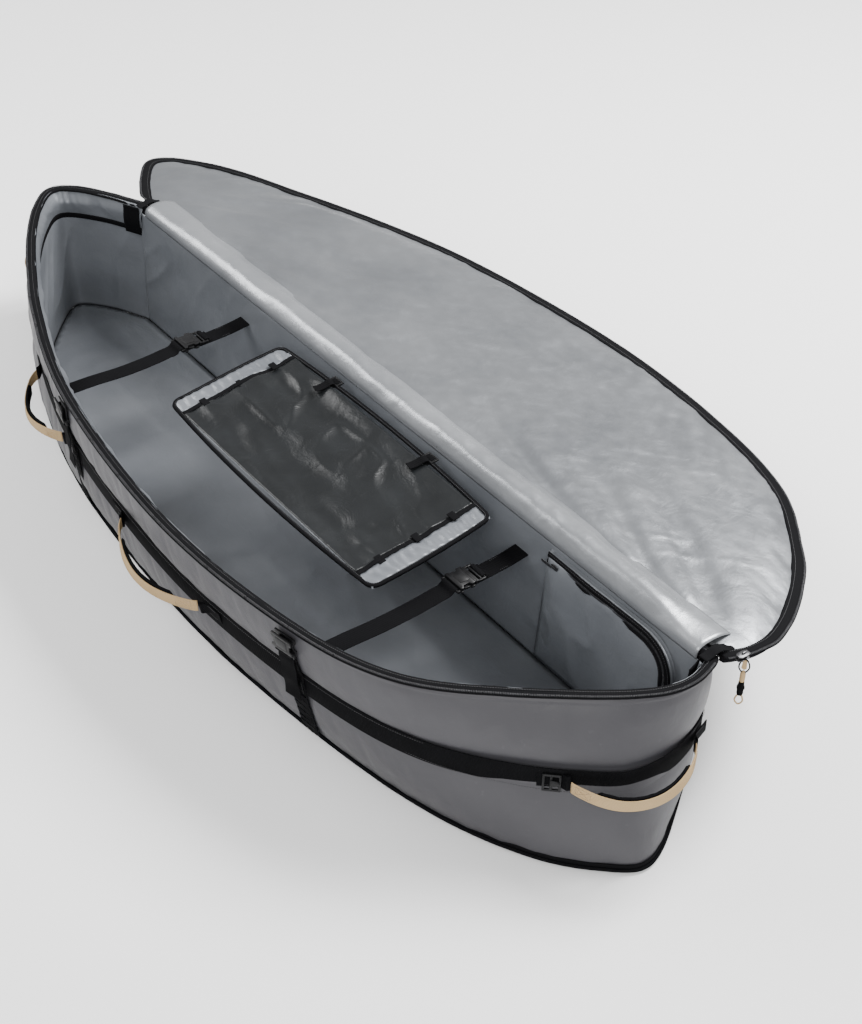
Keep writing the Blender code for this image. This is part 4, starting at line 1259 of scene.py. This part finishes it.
def make_lid_plug(end):
    hang = JOINTS[f"lid_plug_{end}_swing"]["pos_m"]
    place = Matrix.Translation(hang) @ Matrix.Rotation(PI / 2, 4,
                                                       "X") @ Matrix.Translation((0, -0.028, -PLUG_Z))
    solid(f"lid_plug_{end}_buckle", plug_shapes(), place, M["plastic"], f"lid_plug_{end}",
          (f"lid_plug_{end}",), "buckle_plastic")


# ------------------------------------------------------------------------------
# Organiser. Its own x runs toward the nose, y from its hinge toward the near side, z up.


def organiser_frame():
    slope = math.radians(6)
    place = Matrix.Translation(JOINTS["organiser_lift"]["pos_m"])
    return place @ Matrix.Rotation(PI, 4, "Z") @ Matrix.Rotation(-slope, 4, "X")


def organiser_box():
    """Its corners in its own frame, from the CAD node."""
    points = node_points("organiser_binding")
    local = moved(points, organiser_frame().inverted())
    return local.min(axis=0), local.max(axis=0)


def rounded(x0, x1, y0, y1, radius, steps=8):
    points = []
    for x, y, quarter in ((x1, y1, 0), (x0, y1, 1), (x0, y0, 2), (x1, y0, 3)):
        cx = x - radius if x == x1 else x + radius
        cy = y - radius if y == y1 else y + radius
        for step in range(steps + 1):
            angle = (quarter + step / steps) * PI / 2
            points.append((cx + radius * math.cos(angle), cy + radius * math.sin(angle)))
    return points


def drape(x, y, low, high, seed):
    """The organiser's own sag and folds, none at its binding."""
    edge = np.minimum.reduce([x - low[0], high[0] - x, y - low[1], high[1] - y])
    free = smoothstep(0.0, 0.05, edge)
    run = creases(x / 0.10 + y * 4, y / 0.05, seed) * 0.0032 + noise(x / 0.16 + y * 6, y / 0.07,
        seed + 1) * 0.0052
    sag = -0.009 * np.sin(PI * np.clip((y - low[1]) / (high[1] - low[1]), 0, 1)) * np.sin(PI
        * np.clip((x - low[0]) / (high[0] - low[0]), 0, 1))
    return free * run + sag


def organiser_sheet(name, x_range, y_range, height, folds, material, **ends):
    low, high = organiser_box()
    x = np.linspace(*x_range, max(6, int((x_range[1] - x_range[0]) / 0.0045)))
    y = np.linspace(*y_range, max(6, int((y_range[1] - y_range[0]) / 0.0045)))
    gx, gy = np.meshgrid(x, y, indexing="ij")
    z = height + drape(gx, gy, low, high, 201) + folds(gx, gy)
    points = moved(np.stack([gx, gy, z], axis=-1), organiser_frame())
    made = grid(name, points, thickness=0.0007, outward=0)
    finish_piece(made, material, "organiser", **ends)
    return made


def make_organiser():
    """Silver backing, dark mesh front, gathered silver ends between black bands, all bound in black tape."""
    low, high = organiser_box()
    rim = 0.005
    (x0, y0), (x1, y1) = low[:2] + rim, high[:2] - rim
    backing = organiser_sheet("organiser_backing_silver", (x0, x1), (y0, y1), -0.0016, lambda x, y: 0 * x,
                              M["lining"],
                              replaces=("organiser_backing",), slot="lining_silver")
    gather, band = 0.040, 0.010
    mesh = organiser_sheet("organiser_mesh_front", (x0 + gather + band, x1 - gather - band), (y0, y1), 0.0014,
                           lambda x, y: 0.0016 + 0.0018 * noise(x / 0.05, y / 0.03, 211), M["mesh"],
                           replaces=("organiser_mesh",), slot="mesh_dark")
    for side, (a, b) in {"tail": (x0, x0 + gather), "nose": (x1 - gather, x1)}.items():
        organiser_sheet(f"organiser_gather_{side}", (a, b), (y0, y1), 0.0020,
                                 lambda x, y: 0.0022 * np.sin(y / 0.0032 + 3 * noise(x / 0.02, y / 0.03, 213))
                                 * np.sin(PI * np.clip((x - a) / (b - a), 0.08, 0.92)), M["lining"],
                                 slot="lining_silver")
        inner = b + band / 2 if side == "tail" else a - band / 2
        organiser_sheet(f"organiser_band_{side}", (inner - band / 2, inner + band / 2), (y0, y1), 0.0034,
                        lambda x, y: 0 * x, M["binding"], slot="binding_black")
        for y in (y0 + 0.05, (y0 + y1) / 2, y1 - 0.05):
            tab = [box_of((inner, y, 0.0052), (0.022, 0.014, 0.0020), 0.0006)]
            solid(f"organiser_tab_{side}", tab, organiser_frame(), M["binding"], "organiser",
                  slot="binding_black")
    make_organiser_binding(low, high)
    make_hang_straps()


def make_organiser_binding(low, high):
    place = np.array(organiser_frame())
    outline = np.array(rounded(low[0] + 0.003, high[0] - 0.003, low[1] + 0.003, high[1] - 0.003, 0.020, 10))
    outline = spread(np.vstack([outline, outline[:1]]), 360)[:-1]
    z = drape(outline[:, 0], outline[:, 1], low, high, 201)
    path = np.column_stack([outline, z + 0.0006])
    ahead = unit(np.roll(path, -1, axis=0) - np.roll(path, 1, axis=0))
    out = unit(np.column_stack([ahead[:, 1], -ahead[:, 0], np.zeros(len(path))]))
    up = upward(len(path))
    turn = place[:3, :3].T
    profile = [(0.0035, 0.0006), (0.0028, 0.0026), (0.0, 0.0032), (-0.0045, 0.0028), (-0.0050, 0.0),
               (-0.0045, -0.0024), (0.0, -0.0030), (0.0028, -0.0024)]
    made = tube("organiser_binding_tape", moved(path, place), profile, out @ turn, up @ turn, closed=True)
    finish_piece(made, M["binding"], "organiser", ("organiser_binding",), "binding_black")
    line = moved(path + out * -0.0030 + up * 0.0031, place)
    stitches("organiser_stitching", line, 0.0040, M["thread_dark"], "organiser", parent_slot="binding_black")


def make_hang_straps():
    """Two short straps from the wall, each through a ladder lock, with a loose end hanging."""
    place = organiser_frame()
    for side in ("nose", "tail"):
        near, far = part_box(f"hang_strap_{side}")
        x = -(near[0] + far[0]) / 2
        reach = organiser_box()[0][1]
        route = [(0.001, -0.0002), (0.004, 0.0), (0.006, 0.0032), (0.0125, 0.0058), (0.0185, 0.0032),
                 (0.0205, 0.0), (reach + 0.004, 0.0006)]
        path = [place @ Vector((x, a, b)) for a, b in route]
        across = place.to_3x3() @ Vector((1, 0, 0))
        ribbon(f"hang_strap_{side}_webbing", path, across, 0.020, 0.0012, M["black"], "organiser",
               (f"hang_strap_{side}",), ease=40)
        lock = [box_of((s * 0.0128, 0, 0), (0.0042, 0.018, 0.0040), 0.0010) for s in (-1, 1)]
        lock += [box_of((0, s * 0.0072, 0), (0.026, 0.0034, 0.0036), 0.0010) for s in (-1, 1)]
        lock += [box_of((0, 0, 0.0004), (0.026, 0.0026, 0.0030), 0.0008)]
        spot = place @ Matrix.Translation((x, 0.0125, 0.0032))
        solid(f"ladder_lock_{side}_frame", lock, spot, M["plastic"], "organiser", (f"ladder_lock_{side}",),
              "buckle_plastic")
        tail = [(0.0185, 0.0066), (0.026, 0.0085), (0.036, 0.0062), (0.050, 0.0052), (0.060, 0.0062)]
        path = [place @ Vector((x + 0.002 * k, a, b)) for k, (a, b) in enumerate(tail)]
        ribbon(f"hang_strap_{side}_end", path, across, 0.019, 0.0012, M["black"], "organiser",
               ease=30)


# ------------------------------------------------------------------------------
# Pocket. Its own x runs along the bag, y up the wall, z out of it.


POCKET_CORNER = 0.075


def pocket_frame():
    lean = math.atan2(RIM[:, 1].max() - FLOOR[:, 1].max(), RIM_Z)
    panel = node_points("pocket_panel")
    foot = panel[np.argmax(panel[:, 1] - panel[:, 2] * math.tan(lean))]
    y0 = foot[1] - foot[2] * math.tan(lean)
    return Matrix.Translation((0, y0, 0)) @ Matrix.Rotation(PI / 2 - lean, 4, "X")


def pocket_local():
    local = moved(node_points("pocket_panel"), pocket_frame().inverted())
    return local.min(axis=0), local.max(axis=0)


def make_pocket():
    """A silver panel that stands off the wall, with a gusset and a zip round its top and tail end."""
    low, high = pocket_local()
    (x0, y0), (x1, y1) = low[:2], high[:2]
    place = np.array(pocket_frame())
    radius = POCKET_CORNER
    corner = [(x1 - radius + radius * math.cos(a), y1 - radius + radius * math.sin(a))
              for a in np.linspace(0, PI / 2, 12)]
    shape = np.array([(x0, y1 - 0.002), (x0, y0), (x1, y0), *corner])
    outline = resampled(shape, 0.008)
    points, faces = filled(outline, 0.008)
    _, distance, around = to_edge(points, outline)
    x, y = points.T
    swell = 1 - np.exp(-distance / 0.030)
    opening = np.exp(-(((x - x0) / 0.12) ** 2)) * smoothstep(y0 + 0.05, y1, y)
    folds = creases(x / 0.075 + y * 5, y / 0.10, 221) * 0.0026 + noise(x / 0.05 + y * 4, y / 0.12,
        223) * 0.0030
    folds += noise(around / 0.02, distance / 0.05, 225) * 0.0016 * np.exp(-distance / 0.03)
    z = high[2] + 0.0015 + 0.010 * swell + 0.012 * opening * swell + folds * smoothstep(0, 0.02, distance)
    sheet = new_object("pocket_panel_silver", moved(np.column_stack([points, z]), place), faces, points)
    add_thickness(sheet, 0.0009, 0)
    finish_piece(sheet, M["lining"], replaces=("pocket_panel",), slot="lining_silver")
    rim = np.vstack([outline, outline[:1]])
    rows = []
    for depth, inward in ((0.0, 0.0), (0.30, 0.003), (0.55, 0.001), (0.8, 0.004), (1.0, 0.0015)):
        centre = outline.mean(axis=0)
        ring = rim + (centre - rim) * inward / 0.15
        rows.append(np.column_stack([ring, np.full(len(ring), 0.0006 + (high[2] + 0.0010) * depth)]))
    gusset = grid("pocket_gusset", moved(np.stack(rows, axis=1), place), thickness=0.0008, outward=0)
    finish_piece(gusset, M["lining"], slot="lining_silver")
    make_pocket_zip(low, high, place)


def resampled(outline, spacing):
    """A closed outline with points at even steps, its corners kept."""
    points = []
    for a, b in zip(outline, np.roll(outline, -1, axis=0)):
        count = max(1, int(round(np.linalg.norm(b - a) / spacing)))
        points += [a + (b - a) * k / count for k in range(count)]
    return np.array(points)


def make_pocket_zip(low, high, place):
    (x0, y0), (x1, y1) = low[:2], high[:2]
    radius, inset = POCKET_CORNER, 0.014
    line = [(x0 + 0.004, y1 - inset), (x1 - radius, y1 - inset)]
    for a in np.linspace(PI / 2, 0, 14)[1:]:
        line.append((x1 - radius + (radius - inset) * math.cos(a),
                     y1 - radius + (radius - inset) * math.sin(a)))
    line.append((x1 - inset, y0 + 0.012))
    fine = np.array(line)
    fine = spread(np.vstack([np.linspace(fine[0], fine[1], 12)[:-1], fine[1:-1],
                             np.linspace(fine[-2], fine[-1], 8)[1:]]), 240)
    level = high[2] + 0.0064
    wave = noise(np.linspace(0, 9, 240), 0, 231) * 0.0014
    path = np.column_stack([fine, level + wave])
    ahead = directions(path)
    out = np.column_stack([-ahead[:, 1], ahead[:, 0], np.zeros(240)])
    up = upward(len(path))
    turn = place[:3, :3].T

    def world(points):
        return moved(points, place)

    for name, offset in (("pocket_zip_tape_outer", 0.0075), ("pocket_zip_tape_inner", -0.0075)):
        rows = [world(path + out * (offset + d) + up * h) for d,
                h in ((-0.0062, 0.0), (-0.003, 0.0012), (0.003, 0.0012), (0.0062, -0.0004))]
        tape = grid(name, np.stack(rows, axis=1), thickness=0.0010, outward=0)
        finish_piece(tape, M["tape"], replaces=("pocket_zip",) if "outer" in name else (), slot="zip_tape")
    for side in (-1, 1):
        row = world(path + out * side * 0.0011 + up * 0.0012)
        teeth(f"pocket_coil_{side + 2}", row, directions(row), (out * side) @ turn, up @ turn, 0.0024,
              (0.0016, 0.0026, 0.0018), "tub", ())
    for side in (-1, 1):
        stitches("pocket_stitching", world(path + out * side * 0.0105 + up * 0.0018), SEAM_PITCH,
                 M["thread_dark"], parent_slot="zip_tape")
    make_pocket_slider(place)


def make_pocket_slider(place):
    slider = node_points("pocket_slider").mean(axis=0)
    spot = Matrix.Translation(Vector(slider) + Vector(place[:3, 2]) * 0.0052)
    spot = spot @ Matrix(place[:3, :3].tolist()).to_4x4()
    side = [(-0.0085, -0.0028), (-0.004, -0.0052), (0.006, -0.0052), (0.0088, -0.0032)]
    deck = side + [(x, -y) for x, y in reversed(side)]
    shapes = [plate_mesh(deck, z, z + 0.0014, 0.0005) for z in (-0.0026, 0.0020)]
    shapes += [box_of((0.0, 0, 0.0042), (0.0080, 0.0022, 0.0022), 0.0008),
               box_of((0.005, 0, 0.0), (0.003, 0.0022, 0.004), 0.0004)]
    tab = [(-0.004, -0.0026), (-0.004, 0.0026), (-0.028, 0.0034), (-0.031, 0.0018), (-0.031, -0.0018),
           (-0.028, -0.0034)]
    shapes += [plate_mesh(tab, 0.0058, 0.0070, 0.0004)]
    solid("pocket_slider_body", shapes, spot, M["metal"], "pocket_slider", ("pocket_slider",), "slider_metal")


# ------------------------------------------------------------------------------
# Handles

HANDLE_Z = (BAND_LOW + BAND_HIGH) / 2
HANDLE_WIDTH = 0.025
STAND_OFF = {"tail": 0.034, "nose": 0.034, "middle": 0.045, "forward": 0.045}


def handle_stations(name):
    """The stations on the outline where a handle's two ends are sewn."""
    joint = JOINTS[f"{name}_handle_swing"]
    axis = np.array(joint["axis"])
    points = node_points(f"{name}_handle_webbing")
    along = (points - np.array(joint["pos_m"])) @ axis
    ends = [np.array(joint["pos_m"]), points[np.argmax(np.abs(along))]]
    ring = wall_ring(HANDLE_Z, HANDLE_END_OUT)
    return [int(np.argmin(np.linalg.norm(ring[:, :2] - e[:2], axis=1))) for e in ends]


def handle_path(name, out, first=0.0, last=1.0, count=70):
    i0, i1 = handle_stations(name)
    f = np.linspace(first, last, count)
    at = i0 + (i1 - i0) * f
    stand = HANDLE_END_OUT + STAND_OFF[name] * np.sin(PI * f) ** 0.75 + out
    ring0, ring1 = wall_ring(HANDLE_Z, 0.0)[:SIDE_COUNT], wall_ring(HANDLE_Z, 1.0)[:SIDE_COUNT]
    base = np.stack([np.interp(at, np.arange(SIDE_COUNT), ring0[:, k]) for k in range(3)], axis=1)
    away = np.stack([np.interp(at, np.arange(SIDE_COUNT), (ring1 - ring0)[:, k]) for k in range(3)], axis=1)
    droop = -0.010 * np.sin(PI * f) ** 1.5
    path = base + away * stand[:, None]
    path[:, 2] += droop
    return path


def make_handles():
    for name in STAND_OFF:
        body = f"{name}_handle"
        path = handle_path(name, 0.0)
        twist = 0.10 * np.sin(np.linspace(0, 2 * PI, len(path)))
        across = np.column_stack([twist, twist, np.ones(len(path))])
        ribbon(f"{name}_handle_tan", path, across, HANDLE_WIDTH, 0.0019, M["tan"], body,
               (f"{name}_handle_webbing",), "webbing_tan", ease=110)
        inner = spread(handle_path(name, -0.0056, 0.16, 0.84, 50), 90)
        make_handle_pad(name, inner, body)
        for first, last in ((0.03, 0.13), (0.87, 0.97)):
            cross_stitch(name, first, last, body)
        make_handle_tabs(name)


def make_handle_pad(name, path, body):
    """The padded sleeve under the webbing, pinched at its ends, with the webbing's edge showing."""
    count = len(path)
    ahead = directions(path)
    up = upward(count)
    up = unit(up - ahead * (up * ahead).sum(axis=1)[:, None])
    out = np.cross(up, ahead)
    f = np.linspace(0, 1, count)
    fat = np.clip(np.minimum(f, 1 - f) / 0.05, 0.25, 1) ** 0.5 * (1 + 0.04 * noise(f * 26, 0, 241))
    angles = np.arange(14) * 2 * PI / 14
    rows = []
    for a in angles:
        c, s = math.cos(a), math.sin(a)
        rows.append(path + out * (0.0040 * np.sign(c) * abs(c) ** 0.8 * fat)[:, None] + up
                    * (0.0148 * np.sign(s) * abs(s) ** 0.6 * fat)[:, None])
    points = np.stack(rows, axis=1)
    uv = uv_of(lengths(path), angles * 0.008)
    made = skinned(f"{name}_handle_sleeve", points.reshape(-1, 3), count, len(angles), uv)
    finish_piece(made, M["black"], body, (f"{name}_handle_pad",), "webbing_black")


def cross_stitch(name, first, last, body):
    """A boxed cross of thread through the webbing."""
    path = spread(handle_path(name, 0.0018, first, last, 20), 30)
    half = HANDLE_WIDTH / 2 - 0.004
    length = np.linspace(0, 1, len(path))
    lines = [path + [0, 0, half], path - [0, 0, half], path + np.outer(half * (2 * length - 1), [0, 0, 1]),
             path - np.outer(half * (2 * length - 1), [0, 0, 1])]
    for end in (path[0], path[-1]):
        lines.append(np.array([end + [0, 0, t] for t in np.linspace(-half, half, 10)]))
    for line in lines:
        stitches(f"{name}_handle_cross", line, 0.0036, M["thread_tan"], body, radius=0.0005,
                 parent_slot="webbing_tan")


def make_handle_tabs(name):
    """The folded black tabs that join a handle's ends to the load band."""
    i0, i1 = handle_stations(name)
    step = 1 if i1 > i0 else -1
    for end, (i, away) in enumerate(((i0, -step), (i1, step))):
        frame_here = wall_axes(i, HANDLE_Z, 0.0)
        top = HANDLE_END_OUT
        fold = [(0.056, 0.0052), (0.034, 0.0054), (0.019, 0.0062), (0.012, 0.0110), (0.0065, top - 0.0006),
                (0.0018, top - 0.0026), (0.0055, top - 0.0052), (0.013, 0.0084)]
        path = [frame_here @ Vector((away * a, 0, b)) for a, b in fold]
        ribbon(f"{name}_handle_tab_{end + 1}", path, frame_here.to_3x3() @ Vector((0, 1, 0)), 0.026, WEBBING,
               M["black"], ease=44)
        for edge in (-0.0095, 0.0095):
            line = [frame_here @ Vector((away * a, edge, 0.0068)) for a in np.linspace(0.016, 0.048, 12)]
            stitches(f"{name}_tab_stitching", line, 0.0036, M["thread_dark"])


def make_tail_hook():
    """The flat hook and its keeper, on the load band beside the tail handle."""
    low, high = (Vector(c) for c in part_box("tail_hook"))
    centre = (low + high) / 2
    ring = wall_ring(HANDLE_Z, 0.0)[:SIDE_COUNT]
    i = int(np.argmin(np.linalg.norm(ring[:, :2] - np.array(centre)[:2], axis=1)))
    place = wall_axes(i, HANDLE_Z, 0.0110)
    shapes = [box_of((0, s * 0.0135, 0), (0.031, 0.0040, 0.0050), 0.0012) for s in (-1, 1)]
    shapes += [box_of((x, 0, 0), (0.0042, 0.030, 0.0050), 0.0012) for x in (-0.0135, -0.001, 0.0135)]
    shapes += [plate_mesh([(-0.002, -0.006), (0.010, -0.0045), (0.014, 0.0), (0.010, 0.0045),
                           (-0.002, 0.006)], 0.0018, 0.0052, 0.0010)]
    solid("tail_hook_buckle", shapes, place, M["plastic"], replaces=("tail_hook",), slot="buckle_plastic")


# ------------------------------------------------------------------------------
# Main zip's slider and pull, and the bands at the hinge's ends


def make_main_slider():
    """The metal slider, parked at the tail end of the lid's zip."""
    centre = Vector(node_points("main_slider").mean(axis=0))
    turn = TO_OPEN.to_3x3().to_4x4()
    place = Matrix.Translation(centre) @ turn
    side = [(0.0050, -0.0125), (0.0068, -0.006), (0.0068, 0.008), (0.0040, 0.0135)]
    deck = [(-0.0050, -0.0125), *side, *[(-x, y) for x, y in side[:0:-1]]]
    shapes = [plate_mesh(deck, z, z + 0.0022, 0.0007) for z in (-0.0052, 0.0030)]
    shapes += [box_of((0, 0.009, -0.0005), (0.0026, 0.004, 0.0080), 0.0006)]
    shapes += [box_of((0, -0.002, -0.0072), (0.0030, 0.0110, 0.0030), 0.0012)]
    solid("main_slider_body", shapes, place, M["metal"], "lid", ("main_slider",), "slider_metal")
    make_zip_pull()


def make_zip_pull():
    """The pull: a black loop round a tan tongue, a tan sleeve, a black knot and a tan loop at its end."""
    top = Vector(JOINTS["zip_pull_swing"]["pos_m"])
    tongue = plate_mesh([(-0.0034, 0), (0.0034, 0), (0.0046, -0.019), (0.0, -0.0225), (-0.0046, -0.019)],
                        -0.0008, 0.0008, 0.0003)
    turned = Matrix.Rotation(math.radians(40), 4, "Z")
    stand = Matrix.Translation(top) @ turned @ Matrix.Rotation(PI / 2, 4,
        "X") @ Matrix.Translation((0, -0.004, 0))
    solid("zip_pull_tab", [tongue], stand, M["tan"], "zip_pull", (), "webbing_tan")
    bead = lathe([(0.0012, 0.0), (0.0042, -0.0012), (0.0048, -0.0050), (0.0048, -0.0180), (0.0040, -0.0220),
                  (0.0012, -0.0232)], 16)
    bead_made = solid("zip_pull_bead", [bead], Matrix.Translation(top + Vector((0, 0, -0.0305))), M["tan"],
                      "zip_pull", (), "webbing_tan")
    side = [(0.0016, 0, -0.0330), (0.0056, 0, -0.0285), (0.0086, 0, -0.0205), (0.0066, 0, -0.0100),
            (0.0030, 0, -0.0040)]
    cord = [*side, (0.0, 0, -0.0020), *[(-x, y, z) for x, y, z in reversed(side)]]
    cord = [turned @ Vector(p) for p in cord]
    black = wire("zip_pull_loop_black", [top + p for p in cord], 0.0013, M["black"], "zip_pull",
                 ("zip_pull",), "webbing_black")
    bulges = [(0.0004, 0.0), (0.0050, -0.0015), (0.0054, -0.0080), (0.0068, -0.0120), (0.0070, -0.0155),
              (0.0056, -0.0190), (0.0058, -0.0260), (0.0048, -0.0300), (0.0004, -0.0312)]
    knot = lathe(bulges, 14)
    knot_made = solid("zip_pull_knot", [knot], Matrix.Translation(top + Vector((0, 0, -0.0530))), M["black"],
                      "zip_pull", (), "webbing_black")
    side = [(0.0018, 0, -0.0830), (0.0056, 0, -0.0910), (0.0064, 0, -0.0990)]
    loop = [*side, (0.0, 0, -0.1062), *[(-x, y, z) for x, y, z in reversed(side)]]
    loop = [turned @ Vector(p) for p in loop]
    tan = wire("zip_pull_loop_tan", [top + p for p in loop], 0.0014, M["tan"], "zip_pull", (), "webbing_tan")
    for made, points, diameter, others in ((black, cord, 0.0026, [bead_made]),
                                           (tan, loop, 0.0028, [knot_made])):
        path = spread(np.array([tuple(top + Vector(p)) for p in points]), 90)


def lathe(profile, sides):
    """A turned shape round Z, from (radius, z) points, closed at both ends."""
    verts = [Vector((r * math.cos(2 * PI * k / sides), r * math.sin(2 * PI * k / sides), z)) for r,
             z in profile for k in range(sides)]
    faces = []
    for i in range(len(profile) - 1):
        for k in range(sides):
            m = (k + 1) % sides
            faces.append([i * sides + k, (i + 1) * sides + k, (i + 1) * sides + m, i * sides + m])
    faces += [list(range(sides)), list(range((len(profile) - 1) * sides, len(profile) * sides))[::-1]]
    return verts, faces


def wire(name, points, radius, material, body, replaces, slot):
    path = spread(np.array([tuple(p) for p in points]), 90)
    ahead = directions(path)
    side = unit(np.cross(ahead, (0.13, 0.99, 0.05)))
    made = tube(name, path, circle(radius, 9), side, np.cross(side, ahead))
    return finish_piece(made, material, body, replaces, slot)


def make_corner_bands():
    """Black bands down the inside of each hinge corner, and the zip tape's run from the tub to the lid."""
    for name, first, last in (("nose", 1, 11), ("tail", SIDE_COUNT - 11, SIDE_COUNT - 1)):
        rows = [wall_ring(z, -WALL - 0.0062 + 0.002 * math.sin(z * 90))[first:last]
                for z in np.linspace(RIM_Z - 0.002, LIP_LOW - 0.012, 14)]
        band = grid(f"corner_band_{name}", np.stack(rows, axis=1), thickness=0.0014, outward=0)
        finish_piece(band, M["binding"], slot="binding_black")
        i = 0 if name == "nose" else SIDE_COUNT - 1
        x = RIM[i, 0]
        xs = np.linspace(x - 0.007, x + 0.012, 8) if name == "nose" else np.linspace(x - 0.012, x + 0.007, 8)
        spots = spread(np.array([(-0.026, 0.000), (-0.010, 0.002), (0.0, 0.0050), (0.012, 0.0040),
                                 (0.026, -0.0045), (0.040, -0.0075)]), 20)
        rows = [np.column_stack([xs, np.full(8, HINGE.y + y), np.full(8, HINGE.z + z)]) for y, z in spots]
        bending_sheet(f"zip_tape_link_{name}", rows, 0.0012, "tape", (), "zip_tape")


# ------------------------------------------------------------------------------
# Stage


def make_camera():
    data = bpy.data.cameras.new("camera")
    camera = bpy.data.objects.new("camera", data)
    bpy.context.scene.collection.objects.link(camera)
    bpy.context.scene.camera = camera
    data.lens = 58.7
    data.clip_end = 50
    azimuth, elevation, roll = (math.radians(a) for a in (52.2, 39.8, 0.6))
    camera.location = (2.19, -1.30, 2.22)
    camera.rotation_euler = (Matrix.Rotation(azimuth, 3, "Z") @ Matrix.Rotation(PI / 2 - elevation, 3, "X")
                             @ Matrix.Rotation(roll, 3, "Z")).to_euler()


def make_stage():
    floor = new_object("studio_floor", [(-8, -8, 0), (8, -8, 0), (8, 8, 0), (-8, 8, 0)], [(0, 1, 2, 3)])
    floor.location.z = -0.0005
    shade = bpy.data.materials.new("studio_floor_paint")
    shade.use_nodes = True
    shader = shade.node_tree.nodes["Principled BSDF"]
    shader.inputs["Base Color"].default_value = (0.93, 0.93, 0.93, 1)
    shader.inputs["Roughness"].default_value = 0.9
    floor.data.materials.append(shade)
    world = bpy.data.worlds.new("studio")
    bpy.context.scene.world = world
    world.use_nodes = True
    world.node_tree.nodes["Background"].inputs[0].default_value = (1, 1, 1, 1)
    world.node_tree.nodes["Background"].inputs[1].default_value = 0.62
    for name, place, aim, size, power in (
        ("key", (0.4, 3.0, 3.6), (0, 0.2, 0.2), 2.0, 460),
        ("fill", (3.4, -2.8, 3.4), (0, 0, 0.1), 3.2, 200),
        ("edge", (-3.6, -1.4, 3.0), (0, 0, 0.2), 2.4, 190),
    ):
        light = bpy.data.lights.new(name, "AREA")
        light.size = size
        light.energy = power
        made = bpy.data.objects.new(name, light)
        bpy.context.scene.collection.objects.link(made)
        made.location = place
        made.rotation_euler = (Vector(aim) - Vector(place)).to_track_quat("-Z", "Y").to_euler()


make_camera()
make_stage()
make_tub_skin()
make_piping()
make_load_band()
make_tub_zip()
make_lip()
make_wall_lining()
make_floor()
make_lid()
make_hinge_cover()
make_tie_downs()
make_compression()
make_organiser()
make_pocket()
make_handles()
make_tail_hook()
make_main_slider()
make_corner_bands()
